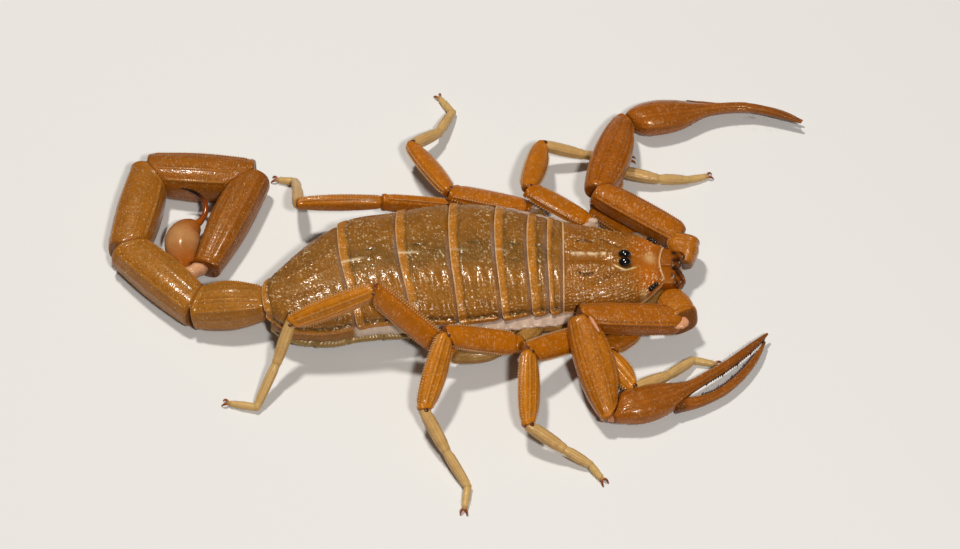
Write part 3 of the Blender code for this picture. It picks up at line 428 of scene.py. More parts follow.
class ScorpionRelief(bpy.types.PropertyGroup):
    """Heights and spacings of the shell's relief."""

    grain_height: length("Grain height", "Height of the shell's round grains", 0.035)
    grain_pitch: length("Grain spacing", "Distance between the grains", 0.19)
    rim_width: length("Rim width", "Width of the band at each back plate's rear margin", 0.58)
    rim_height: length("Rim height", "Height of that band", 0.06)
    keel_scale: FloatProperty(name="Keel scale", description="Height of the limbs' keels against the tables",
                              default=1.0, min=0.0, max=3.0)


class ScorpionStage(bpy.types.PropertyGroup):
    """Floor, lights and camera."""

    floor: colour("Floor", 0.86, 0.85, 0.83)
    key_power: FloatProperty(name="Key light", description="Power of the key light", default=0.68, min=0.0,
                             unit="POWER")
    front_power: FloatProperty(name="Front light", description="Power of the light near the camera",
                               default=0.54, min=0.0, unit="POWER")
    sky_strength: FloatProperty(name="Sky", description="Strength of the even light", default=0.08, min=0.0)
    elevation: FloatProperty(name="Camera elevation", description="Angle of the camera above the floor",
                             default=math.radians(55.0), subtype="ANGLE")
    distance: length("Camera distance", "Distance from the camera to the spot it looks at", 260.0)
    lens: FloatProperty(name="Lens", description="Focal length", default=136.5, min=1.0, unit="CAMERA")


def colours():
    """The colour settings."""
    return bpy.context.scene.scorpion_colours


def relief():
    """The relief settings."""
    return bpy.context.scene.scorpion_relief


# ------------------------------------------------------------------------------ curves and noise


def unit(vector):
    """The same direction, one long."""
    vector = np.asarray(vector, float)
    return vector / np.linalg.norm(vector, axis=-1, keepdims=True)


def ease(x, low, high):
    """0 at low and 1 at high with level ends: 3 t^2 - 2 t^3."""
    t = np.clip((x - low) / (high - low), 0.0, 1.0)
    return t * t * (3.0 - 2.0 * t)


def bell(x, width):
    """A soft hump: e to the minus (x / width)^2."""
    return np.exp(-(x / width) ** 2)


def powered(wave, power):
    """A wave raised to a power with its sign kept."""
    return np.sign(wave) * np.abs(wave) ** power


def smooth_curve(where, knots, values):
    """Cubic curve through the values at the knots, with each slope taken from the neighbours."""
    where = np.asarray(where, float)
    knots = np.asarray(knots, float)
    values = np.asarray(values, float)
    slopes = np.gradient(values, knots, axis=0)
    left = np.clip(np.searchsorted(knots, where, side="right") - 1, 0, len(knots) - 2)
    span = knots[left + 1] - knots[left]
    t = (where - knots[left]) / span
    if values.ndim > 1:
        t = t[:, None]
        span = span[:, None]
    rise = t * t * (3 - 2 * t)
    level = values[left] * (1 - rise) + values[left + 1] * rise
    return level + slopes[left] * t * (1 - t) ** 2 * span + slopes[left + 1] * t * t * (t - 1) * span


def lengths_of(points):
    """Distance run along a line of points, from 0."""
    steps = np.linalg.norm(np.diff(np.asarray(points, float), axis=0), axis=1)
    return np.concatenate(((0.0,), np.cumsum(steps)))


def along(points, count):
    """Evenly spaced points on a smooth curve through the given ones."""
    knots = lengths_of(points)
    return smooth_curve(np.linspace(0.0, knots[-1], count), knots, points)


def stations(total, step, radius):
    """Distances from 0 to the total, crowded within a radius of both ends as on a quarter circle."""
    bend = radius * (1.0 - np.cos(np.linspace(0.0, math.pi / 2, 7)))
    count = max(int((total - 2 * radius) / step), 4)
    middle = np.linspace(radius, total - radius, count)[1:-1]
    return np.concatenate((bend, middle, total - bend[::-1]))


def grains(down, across, wrap=None, seed=1):
    """Round grains, one to a unit cell at a random spot: 1 - (distance / radius)^2, and their brightness."""
    table = np.random.default_rng(seed).random((4, 97, wrap or 89))
    row = np.floor(down).astype(int)
    column = np.floor(across).astype(int)
    height = np.zeros(np.broadcast(down, across).shape)
    shine = np.zeros_like(height)
    for row_step in (-1, 0, 1):
        for column_step in (-1, 0, 1):
            pick = (row + row_step) % table.shape[1], (column + column_step) % table.shape[2]
            away_down = down - (row + row_step + 0.2 + 0.6 * table[0][pick])
            away_across = across - (column + column_step + 0.2 + 0.6 * table[1][pick])
            radius = 0.26 + 0.28 * table[2][pick]
            grain = 1.0 - (away_down ** 2 + away_across ** 2) / radius ** 2
            shine = np.where(grain > height, table[3][pick], shine)
            height = np.maximum(height, grain)
    return height, ease(shine, 0.55, 0.85)


def ripple(*coordinates, seed=3):
    """Uneven waves from -1 to 1: the mean of five sines of turned and shifted coordinates."""
    table = np.random.default_rng(seed).uniform(-1.0, 1.0, (5, len(coordinates) + 1))
    total = 0.0
    for row in table:
        total = total + np.sin(sum(c * (1.4 * w) for c, w in zip(coordinates, row)) + 3.1 * row[-1])
    return total / len(table)


# ------------------------------------------------------------------------------ closed surfaces


def flat_marks(shape, poles, given):
    """Each mark as one flat list: the grid's values, then the mean of the rows that each pole closes."""
    found = {}
    for name in MARKS:
        grid = np.broadcast_to(np.asarray(given.get(name, 0.0), float), shape)
        ends = [grid[row].mean() for row in poles]
        found[name] = np.clip(np.concatenate((grid.ravel(), ends)), 0.0, 1.0)
    return found


def outward(shell):
    """The same surface with its faces turned out: they are reversed where the enclosed volume is negative."""
    triangles = np.concatenate((shell.quads[:, :3], shell.quads[:, (0, 2, 3)], shell.fans))
    a, b, c = shell.points[triangles].transpose(1, 0, 2)
    if np.einsum("ij,ij->i", a, np.cross(b, c)).sum() > 0:
        return shell
    faces = ("quads", "fans", "quad_uv", "fan_uv")
    return shell._replace(**{kind: getattr(shell, kind)[:, ::-1] for kind in faces})


def map_grid(rows, columns, low, high):
    """Places on the map for a grid of points: across from 0 to 1 and up from low to high."""
    u, v = np.meshgrid(np.linspace(0.0, 1.0, columns), np.linspace(low, high, rows))
    return np.stack((u, v), axis=-1)


def grid_quads(index):
    """The four corners of each cell in a grid of point numbers."""
    return np.stack((index[:-1, :-1], index[:-1, 1:], index[1:, 1:], index[1:, :-1]), axis=-1).reshape(-1, 4)


def fan(edge, place, pole, pole_v, turned):
    """Triangles from each two neighbours on an edge to one pole, with their places on the map."""
    a, b = (slice(1, None), slice(None, -1)) if turned else (slice(None, -1), slice(1, None))
    count = len(edge) - 1
    corners = np.stack((edge[a], edge[b], np.full(count, pole)), axis=-1)
    tip = np.stack((0.5 * (place[a, 0] + place[b, 0]), np.full(count, pole_v)), axis=-1)
    return corners, np.stack((place[a], place[b], tip), axis=1)


def close_tube(rings, **marks):
    """A closed body from rings of points: quads between the rings and a fan to the middle of each end."""
    rows, columns = rings.shape[:2]
    index = np.arange(rows * columns).reshape(rows, columns)
    index = np.hstack((index, index[:, :1]))
    place = map_grid(rows, columns + 1, 0.03, 0.97)
    cells = grid_quads(np.arange(place[..., 0].size).reshape(rows, columns + 1))
    near, near_uv = fan(index[0], place[0], rings[..., 0].size, 0.0, True)
    far, far_uv = fan(index[-1], place[-1], rings[..., 0].size + 1, 1.0, False)
    points = np.vstack((rings.reshape(-1, 3), rings[0].mean(axis=0), rings[-1].mean(axis=0)))
    return outward(Shell(points, grid_quads(index), np.vstack((near, far)), place.reshape(-1, 2)[cells],
                         np.vstack((near_uv, far_uv)), flat_marks((rows, columns), (0, -1), marks)))


def close_dome(grid, apex, **marks):
    """A closed body from an open grid of points, its border fanned to one hidden point below it."""
    rows, columns = grid.shape[:2]
    index = np.arange(rows * columns).reshape(rows, columns)
    quads = grid_quads(index)
    border = np.concatenate((index[0, :-1], index[:-1, -1], index[-1, :0:-1], index[:0:-1, 0], index[0, :1]))
    fans, fan_uv = fan(border, map_grid(1, len(border), 0.07, 0.07)[0], rows * columns, 0.0, True)
    place = map_grid(rows, columns, 0.08, 1.0).reshape(-1, 2)
    return outward(Shell(np.vstack((grid.reshape(-1, 3), apex)), quads, fans, place[quads], fan_uv,
                         flat_marks((rows, columns), (0,), marks)))


def spikes(roots, tips, radius, **marks):
    """Many small closed cones: four points round each root, one root behind them and one tip."""
    heading = unit(tips - roots)
    side = unit(np.cross(heading, np.where(np.abs(heading[:, 2:]) > 0.9, (1.0, 0.0, 0.0), UP)))
    other = np.cross(heading, side)
    turn = (np.arange(4) * math.pi / 2)[None, :, None]
    radius = np.broadcast_to(radius, len(roots))[:, None, None]
    ring = roots[:, None] + radius * (np.cos(turn) * side[:, None] + np.sin(turn) * other[:, None])
    points = np.concatenate((ring, roots[:, None] - heading[:, None] * radius, tips[:, None]), axis=1)
    pattern = np.array([(i, (i + 1) % 4, 5) for i in range(4)] + [((i + 1) % 4, i, 4) for i in range(4)])
    fans = (pattern[None] + 6 * np.arange(len(roots))[:, None, None]).reshape(-1, 3)
    spot = np.repeat((np.arange(len(roots)) + 0.5) / len(roots), len(pattern))
    corner = np.array(((0.0, 0.0), (0.004, 0.0), (0.002, 0.9)))
    fan_uv = np.stack((spot, np.zeros(len(spot))), -1)[:, None] + corner[None]
    flat = {name: np.full(points.shape[0] * 6, float(marks.get(name, 0.0))) for name in MARKS}
    return Shell(points.reshape(-1, 3), np.zeros((0, 4), int), fans, np.zeros((0, 4, 2)), fan_uv, flat)


def linked(name, data):
    """A new object for a mesh, a light or a camera, linked to the scene."""
    made = bpy.data.objects.new(name, data)
    bpy.context.scene.collection.objects.link(made)
    return made


def put_piece(name, shells, finish, nodes):
    """Joins closed surfaces into one mesh with its marks and its map, hides the solids it stands for and
    hangs it on the body.
    """
    first = np.cumsum([0] + [len(shell.points) for shell in shells])
    quads = np.vstack([shell.quads + start for shell, start in zip(shells, first)])
    fans = np.vstack([shell.fans + start for shell, start in zip(shells, first)])
    side = math.ceil(math.sqrt(len(shells)))
    cells = [(number % side, number // side) for number in range(len(shells))]
    uv = np.vstack([((0.01 + 0.98 * getattr(shell, kind) + cell) / side).reshape(-1, 2)
                    for kind in ("quad_uv", "fan_uv") for shell, cell in zip(shells, cells)])
    points = (np.vstack([shell.points for shell in shells]) - MIDDLE) * MM
    points[:, 2] = np.maximum(points[:, 2], 0.0)
    corners = np.concatenate((quads.ravel(), fans.ravel()))
    starts = np.concatenate((np.arange(len(quads)) * 4, quads.size + np.arange(len(fans)) * 3))
    mesh = bpy.data.meshes.new(name)
    mesh.vertices.add(len(points))
    mesh.vertices.foreach_set("co", points.astype(np.float32).ravel())
    mesh.loops.add(len(corners))
    mesh.loops.foreach_set("vertex_index", corners.astype(np.int32))
    mesh.polygons.add(len(starts))
    mesh.polygons.foreach_set("loop_start", starts.astype(np.int32))
    mesh.update(calc_edges=True)
    mesh.shade_smooth()
    mesh.uv_layers.new(name=UV_MAP).uv.foreach_set("vector", uv.astype(np.float32).ravel())
    for mark in MARKS:
        values = np.concatenate([shell.marks[mark] for shell in shells])
        mesh.attributes.new(mark, "FLOAT", "POINT").data.foreach_set("value", values.astype(np.float32))
    if mesh.validate():
        raise RuntimeError(f"{name} has faces that Blender had to mend")
    mesh.materials.append(shell_material(finish))
    piece = linked(name, mesh)
    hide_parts(*nodes)
    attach(piece, BODY)


# ------------------------------------------------------------------------------ materials

# The sixth layer, Glint, is the colour of painted highlights.
LAYERS = ("Base", "Rim", "Dusk", "Pale", "Warm", "Glint")
SHELL_GLOSS_TINT = (1.0, 0.70, 0.34, 1.0)
COAT_ROUGHNESS = 0.12
SHELL_GLOSS = 0.3
SHELL_DEPTH = 0.5
CLOUD_DENSITY = 1100.0
GLOSS_CLOUD_DENSITY = 1800.0
# Each finish: the settings' names for the six layers' colours, then roughness, coat, grain size in mm,
# grain height in mm, grain tint (strength of the painted glints on the grains) and mottling.
FINISHES = {
    "back": ("back back_rim back_dusk strip back_warm glint", 0.30, 0.32, 0.11, 0.017, 0.95, 0.24),
    "head": ("head back_rim head_dark foot_ridge head_front glint", 0.30, 0.30, 0.11, 0.017, 0.9, 0.20),
    "limb": ("limb limb_ridge limb_dark membrane limb_warm glint", 0.33, 0.22, 0.14, 0.007, 0.45, 0.16),
    "foot": ("foot foot_ridge claw membrane limb glint", 0.40, 0.10, 0.18, 0.004, 0.2, 0.14),
    "pincer": ("pincer pincer_ridge pincer_dark rosy limb_warm glint", 0.34, 0.18, 0.13, 0.012, 0.65, 0.16),
    "hand": ("hand pincer_ridge pincer_dark membrane pincer glint", 0.27, 0.25, 0.16, 0.005, 0.35, 0.18),
    "tail": ("tail tail_ridge limb_dark rosy tail_end glint", 0.38, 0.22, 0.16, 0.024, 0.75, 0.18),
    "vesicle": ("vesicle foot_ridge limb_dark foot_ridge tail_end glint", 0.22, 0.3, 0.3, 0.002, 0.1, 0.16),
    "sting": ("sting vesicle sting_tip vesicle sting sting", 0.2, 0.4, 0.3, 0.001, 0.0, 0.10),
    "membrane": ("membrane membrane membrane_dark membrane_light back membrane_light", 0.38, 0.2, 0.2, 0.006,
                 0.3, 0.16),
    "belly": ("belly belly_rim limb_dark membrane limb glint", 0.36, 0.15, 0.2, 0.005, 0.35, 0.16),
    "eye": ("eye eye sting_tip eye head_dark eye", 0.14, 1.0, 0.3, 0.0002, 0.0, 0.2),
    "jaw": ("jaw head_front jaw_dark foot_ridge jaw_gold glint", 0.42, 0.05, 0.2, 0.005, 0.15, 0.16),
}


def new_group(name, inputs, outputs):
    """An empty shader node group with the named sockets, and its input and output nodes."""
    group = bpy.data.node_groups.new(name, "ShaderNodeTree")
    for way, sockets in (("INPUT", inputs), ("OUTPUT", outputs)):
        for socket, kind in sockets.items():
            group.interface.new_socket(socket, in_out=way, socket_type=f"NodeSocket{kind}")
    return group, group.nodes.new("NodeGroupInput").outputs, group.nodes.new("NodeGroupOutput").inputs


def maths(tree, operation, *values, clamp=False):
    """A maths node on sockets or numbers."""
    node = tree.nodes.new("ShaderNodeMath")
    node.operation = operation
    node.use_clamp = clamp
    for socket, value in zip(node.inputs, values):
        if isinstance(value, (int, float)):
            socket.default_value = value
        else:
            tree.links.new(value, socket)
    return node.outputs[0]


def mixed(tree, share, first, second):
    """A colour mix of two sockets."""
    node = tree.nodes.new("ShaderNodeMix")
    node.data_type = "RGBA"
    for socket, value in zip((node.inputs[0], node.inputs[6], node.inputs[7]), (share, first, second)):
        tree.links.new(value, socket)
    return node.outputs[2]


def mark_node(tree, name):
    """The value of one mark of the mesh."""
    node = tree.nodes.new("ShaderNodeAttribute")
    node.attribute_name = name
    return node.outputs["Fac"]


def cloud(tree, place, scale, **settings):
    """A noise texture at a place, about zero."""
    node = tree.nodes.new("ShaderNodeTexNoise")
    node.inputs["Scale"].default_value = scale
    for name, value in settings.items():
        node.inputs[name].default_value = value
    tree.links.new(place, node.inputs["Vector"])
    return maths(tree, "SUBTRACT", node.outputs["Fac"], 0.5)


def marks_group():
    """Node group: the base colour with the warm, dusk, rim and pale marks laid over it in turn, then the
    glint colour as painted highlights where the grain mark or the grain mask is.
    """
    name = "shell marks"
    if name in bpy.data.node_groups:
        return bpy.data.node_groups[name]
    inputs = dict.fromkeys(LAYERS, "Color") | dict.fromkeys(("Mottling", "Grain mask", "Grain tint"), "Float")
    group, given, out = new_group(name, inputs, {"Colour": "Color"})
    result = given["Base"]
    for mark in ("warm", "dusk", "rim", "pale"):
        result = mixed(group, mark_node(group, mark), result, given[mark.capitalize()])
    # Painted highlights: the grain mask times its strength, or the piece's grain mark, mixes in the glint
    # colour.
    glint = maths(group, "MULTIPLY", given["Grain mask"], given["Grain tint"])
    raised = maths(group, "MULTIPLY", mark_node(group, "grain"), 0.55)
    result = mixed(group, maths(group, "MAXIMUM", glint, raised, clamp=True), result, given["Glint"])
    place = group.nodes.new("ShaderNodeTexCoord").outputs["Object"]
    swing = maths(group, "MULTIPLY", cloud(group, place, CLOUD_DENSITY, Detail=5.0, Roughness=0.62),
                  given["Mottling"])
    scaled = group.nodes.new("ShaderNodeVectorMath")
    scaled.operation = "SCALE"
    group.links.new(result, scaled.inputs[0])
    group.links.new(maths(group, "MULTIPLY_ADD", swing, 4.0, 1.0), scaled.inputs["Scale"])
    group.links.new(scaled.outputs[0], out["Colour"])
    return group


def grain_group():
    """Node group: round grains from the distance to scattered points, and a mask that paints sparkles, a
    painted highlight, on about a third of them.
    """
    name = "shell grain"
    if name in bpy.data.node_groups:
        return bpy.data.node_groups[name]
    group, given, out = new_group(name, dict.fromkeys(("Grain size", "Grain height", "Roughness"), "Float"),
                                  dict.fromkeys(("Height", "Mask", "Roughness"), "Float"))
    place = group.nodes.new("ShaderNodeTexCoord").outputs["Object"]
    cells = group.nodes.new("ShaderNodeTexVoronoi")
    group.links.new(place, cells.inputs["Vector"])
    group.links.new(maths(group, "DIVIDE", 1000.0, given["Grain size"]), cells.inputs["Scale"])
    near = maths(group, "MULTIPLY", cells.outputs["Distance"], 2.0)
    dome = maths(group, "SUBTRACT", 1.0, maths(group, "POWER", near, 2.0), clamp=True)
    metres = maths(group, "MULTIPLY", given["Grain height"], MM)
    group.links.new(maths(group, "MULTIPLY", dome, metres), out["Height"])
    # The sparkle mask: picked grains with a bright core, painted as highlights in the glint colour.
    pick = group.nodes.new("ShaderNodeSeparateColor")
    group.links.new(cells.outputs["Color"], pick.inputs[0])
    chosen = maths(group, "GREATER_THAN", pick.outputs[0], 0.60)
    core = maths(group, "MULTIPLY", cells.outputs["Distance"], 2.4)
    core = maths(group, "SUBTRACT", 1.0, core, clamp=True)
    power = maths(group, "MULTIPLY", maths(group, "POWER", core, 1.4), pick.outputs[1])
    group.links.new(maths(group, "MULTIPLY", chosen, power), out["Mask"])
    swing = maths(group, "MULTIPLY", cloud(group, place, GLOSS_CLOUD_DENSITY, Detail=3.0), 0.35)
    swing = maths(group, "SUBTRACT", swing, maths(group, "MULTIPLY", dome, 0.12))
    group.links.new(maths(group, "ADD", given["Roughness"], swing, clamp=True), out["Roughness"])
    return group


def shell_material(name):
    """The named finish: marks and grain groups into a coated shell shader, made once."""
    title = f"scorpion {name}"
    if title in bpy.data.materials:
        return bpy.data.materials[title]
    layers, roughness, coat, size, height, tint, mottling = FINISHES[name]
    made = bpy.data.materials.new(title)
    made.use_nodes = True
    tree = made.node_tree
    marks, grain = (tree.nodes.new("ShaderNodeGroup") for _ in range(2))
    marks.node_tree = marks_group()
    grain.node_tree = grain_group()
    bump = tree.nodes.new("ShaderNodeBump")
    shader = tree.nodes["Principled BSDF"]
    paints = {layer: (*getattr(colours(), setting), 1.0) for layer, setting in zip(LAYERS, layers.split())}
    values = {
        marks: {"Mottling": mottling, "Grain tint": tint, **paints},
        grain: {"Grain size": size, "Grain height": height, "Roughness": roughness},
        bump: {"Strength": 1.0, "Distance": 1.0},
        shader: {"Coat Weight": coat, "Coat Roughness": COAT_ROUGHNESS, "Specular IOR Level": SHELL_GLOSS,
                 "Specular Tint": SHELL_GLOSS_TINT, "Subsurface Weight": 0.15,
                 "Subsurface Radius": (1.0, 0.4, 0.1), "Subsurface Scale": SHELL_DEPTH * MM},
    }
    for node, given in values.items():
        for socket, value in given.items():
            node.inputs[socket].default_value = value
    for source, output, node, socket in (
            (grain, "Mask", marks, "Grain mask"), (grain, "Height", bump, "Height"),
            (marks, "Colour", shader, "Base Color"), (grain, "Roughness", shader, "Roughness"),
            (bump, "Normal", shader, "Normal")):
        tree.links.new(source.outputs[output], node.inputs[socket])
    return made


# ------------------------------------------------------------------------------ trunk


def trunk_at(forward):
    """Columns of centre line, half width, edge height, back height and lag at distances forward."""
    return smooth_curve(forward, TRUNK[:, 0], TRUNK[:, 1:]).T[:, :, None]


def arch(forward, turns, inset=0.0):
    """The back: across by -cos(turn), up by sin(turn) from edge to back height, both raised to a power."""
    centre, half_width, edge, back, lag = trunk_at(forward)
    out = (half_width - inset) * -powered(np.cos(turns), PLATE_ROUNDING)
    z = edge + (back - edge - inset) * np.abs(np.sin(turns)) ** PLATE_ROUNDING
    return np.stack((np.asarray(forward)[:, None] - lag * out, centre + out, z), axis=2)


def lifted(grid, height):
    """A grid raised by a height along its normals, which are the cross products of its two directions."""
    down = np.gradient(grid, axis=0)
    across = np.gradient(grid, axis=1)
    normal = unit(np.cross(down, across))
    if normal[:, normal.shape[1] // 2, 2].mean() < 0:
        normal = -normal
    return grid + normal * height[..., None]


def side_distance(grid):
    """Each point's distance along its row to the nearer end of the row."""
    steps = np.linalg.norm(np.diff(grid, axis=1), axis=2)
    run = np.concatenate((np.zeros((len(grid), 1)), np.cumsum(steps, axis=1)), axis=1)
    return np.minimum(run, run[:, -1:] - run), run


def rounded(distance, radius):
    """How far a rounded edge falls: r - sqrt(r^2 - (r - d)^2) within the radius of the edge."""
    short = np.clip(radius - distance, 0.0, radius)
    return radius - np.sqrt(np.maximum(radius ** 2 - short ** 2, 0.0))


def turns_across(count):
    """Angles over the back from 0 to pi, crowded at both edges."""
    t = np.linspace(0.0, 1.0, count)
    return math.pi * (t - 0.03 * np.sin(2 * math.pi * t))


def bowed(grid, side, s, number):
    """A plate with its rear corners swept forward and its middle bowed to the rear by a parabola."""
    total = s[-1]
    y = grid[:, :, 1]
    share = (y - y.mean(axis=1, keepdims=True)) / (np.ptp(y, axis=1)[:, None] / 2)
    corner = CORNER_SWEEP * np.clip(1.0 - side / 0.6, 0.0, 1.0) ** 2 * ease(s, 0.35 * total, total)[:, None]
    bow = np.interp(s, (0.0, total), TERGITE_BOWS[number - 1:number + 1])[:, None] * (1 + 0.3 * share)
    if number == LAST_PLATE:
        bow = bow + LAST_PLATE_BOW * ease(s, total - 1.6, total)[:, None]
    grid[:, :, 0] += corner - bow * (1 - share ** 2)
    return grid


def plate_keels(number, x, out, from_front, long):
    """A plate's keels, as humps beaded by a cosine of the distance forward, and a painted highlight line on
    its crest.

    The middle plates have one on the midline; the last one has a short one and two pairs that draw together.
    """
    if number in CREST_HIGHLIGHT:
        keel = 0.07 * bell(out - MIDLINE, 0.11) * ease(from_front, 0.7, 1.2) * (0.6 + 0.4 * np.cos(x / 0.11))
        crest = CREST_HIGHLIGHT[number] * bell(out - MIDLINE, 0.055)
        return keel, crest * ease(from_front, 0.5 * long, 0.75 * long)
    if number != LAST_PLATE:
        return 0.0, 0.0
    keel = 0.07 * bell(out, 0.12) * ease(from_front, 0.5, 1.0) * ease(from_front, 3.2, 2.4)
    for place, start, end in LAST_PLATE_KEELS:
        line = bell(np.abs(out) - place * (1 - 0.32 * ease(from_front, 1.5, 5.2)), 0.12)
        line = line * ease(from_front, start, start + 0.6) * ease(from_front, end, end - 0.5)
        keel = keel + 0.12 * line * (0.55 + 0.45 * np.cos(x / 0.075))
    return keel, 0.0


def back_plate(number):
    """One back plate: an arch with a sunk smooth front strip, grained field and a raised beaded rear band."""
    front, rear = TERGITE_EDGES[number - 1:number + 1]
    total = front - rear + TERGITE_OVERLAP
    s = stations(total, 0.062, 0.12)
    x = (rear + total - s)[:, None]
    to_rear = (total - s)[:, None]
    from_front = (s - TERGITE_OVERLAP)[:, None]
    grid = arch(x[:, 0], turns_across(236))
    side, run = side_distance(grid)
    grid = bowed(grid, side, s, number)
    centre, half_width = trunk_at(x[:, 0])[:2]
    out = grid[:, :, 1] - centre
    settings = relief()
    band = settings.rim_width / MM * RIM_SHARES.get(number, 1.0)
    wave = 0.10 * ripple(run * 1.9, x * 0.5, seed=number + 60) + 0.03 * ripple(run * 7.0, seed=number)
    rim = ease(to_rear + wave, band * 1.2, band * 0.7)
    side_rim = ease(side + 0.6 * wave, 0.40, 0.30) * ease(from_front, 0.0, 0.5)
    field = (1 - rim) * (1 - side_rim) * ease(from_front, 0.08, 0.35)
    inside = ease(side, 0.15, 0.9) * ease(out / half_width, 0.80, 0.45)
    flank = ease(np.abs(out), 1.2, 2.6)
    behind_rim = to_rear + wave - band * 1.1
    pitch = settings.grain_pitch / MM
    coarse, shine = grains(x / pitch, run / pitch, seed=number)
    clusters = ease(ripple(x * 2.2, run * 2.0, seed=number + 70), -0.4, 0.3)
    coarse = coarse * (0.45 + 0.55 * shine) * (0.45 + 0.75 * clusters)
    beads, bead_shine = grains(x / (pitch * 0.8), run / (pitch * 0.8), seed=number + 20)
    keel, crest = plate_keels(number, x, out, from_front, front - rear)
    pits = 0.0
    if number in PIT_PLACES:
        pits = bell(np.abs(out - MIDLINE) - PIT_DISTANCE, 0.06) * np.where(out > MIDLINE, 1.2, 0.35)
        pits = pits * bell(from_front - PIT_PLACES[number] * (front - rear), 0.30)
    height = 0.09 * s[:, None] / total - 0.20 * ease(from_front, 0.26, -TERGITE_OVERLAP)
    height = height + keel - PIT_DEPTH * pits
    height = height + settings.rim_height / MM * (0.8 * rim + 1.2 * side_rim)
    height = height - 0.04 * bell(behind_rim - 0.07, 0.07)
    height = height - 0.10 * bell(side - 0.56, 0.13) * ease(from_front, 0.2, 0.6)
    height = height + settings.grain_height / MM * (coarse * field + 0.6 * beads * np.maximum(rim, side_rim))
    fold = ripple(run * 0.5, x * 1.2, seed=number + 4)
    height = height + 0.05 * np.sin(from_front * 2 * math.pi / 0.85 + 1.2 * fold) * field * flank * inside
    height = height + 0.03 * ripple(x * 1.1, run * 0.9, seed=number) * field * inside
    points = lifted(grid, height - rounded(to_rear, 0.09) - rounded(side, 0.09))
    last = number == LAST_PLATE
    # Painted shade: darker toward the far side, near the side edges and over the whole last plate; the middle
    # plates are also darker along the midline.
    shade = 0.16 * ease(out / half_width, 0.1, 0.6) + 0.20 * ease(side, 0.9, 0.3) * (1 - side_rim)
    shade = shade + (0.12 if last else 0.0) + (0.0 if last or number == 1 else 0.50) * bell(out + 0.10, 1.25)
    # Painted shade in the hollows: the pits, the groove behind the rim and the channel inside the side rim.
    furrows = 2.2 * pits + 0.35 * bell(behind_rim - 0.09, 0.08) + 0.5 * bell(side - 0.54, 0.10) * (1 - rim)
    seam = ease(to_rear, 0.12, 0.05) + 0.8 * ease(side, 0.10, 0.03)
    patchy = 0.55 + 0.6 * ripple(run * 1.3, seed=number + 80) - 0.5 * ease(out, 0.5, 3.0)
    # Painted sparkles: the picked grains of the field and the beads of the rim take the glint colour; so do
    # the seam lines and the crest's painted highlight.
    tips = coarse ** 2 * shine * field + 0.7 * beads ** 2 * bead_shine * rim
    apex = points[len(s) // 2, points.shape[1] // 2] - (0.0, 0.0, 1.7)
    return close_dome(points, apex, rim=np.maximum(rim, side_rim) * (0.60 + 0.40 * beads),
                      dusk=shade * (1 - rim) + furrows, warm=0.35 * flank * field,
                      pale=0.85 * ease(from_front + wave, 0.30, 0.14) * np.clip(patchy, 0, 1),
                      grain=tips + 0.45 * seam + 0.9 * crest)


def widened(marks, shape, extra, values):
    """Marks spread over a grid's shape, with some columns of one value added on both sides."""
    return {name: np.pad(np.broadcast_to(np.clip(mark, 0, 1), shape), ((0, 0), (extra, extra)),
                         constant_values=values.get(name, 0.0)) for name, mark in marks.items()}


def walled(points, low, steps, lean):
    """A grid with a wall at both sides: columns that go down to a height by steps and lean out by a curve."""
    steps = np.asarray(steps)
    walls = []
    for column, sign in ((0, -1.0), (-1, 1.0)):
        base = points[:, column]
        wall = np.repeat(base[:, None], len(steps), axis=1)
        wall[:, :, 1] -= sign * lean * steps ** 2
        wall[:, :, 2] -= np.outer(base[:, 2] - low(base[:, 2]), steps)
        walls.append(wall)
    return np.concatenate((walls[0], points, walls[1][:, ::-1]), axis=1)


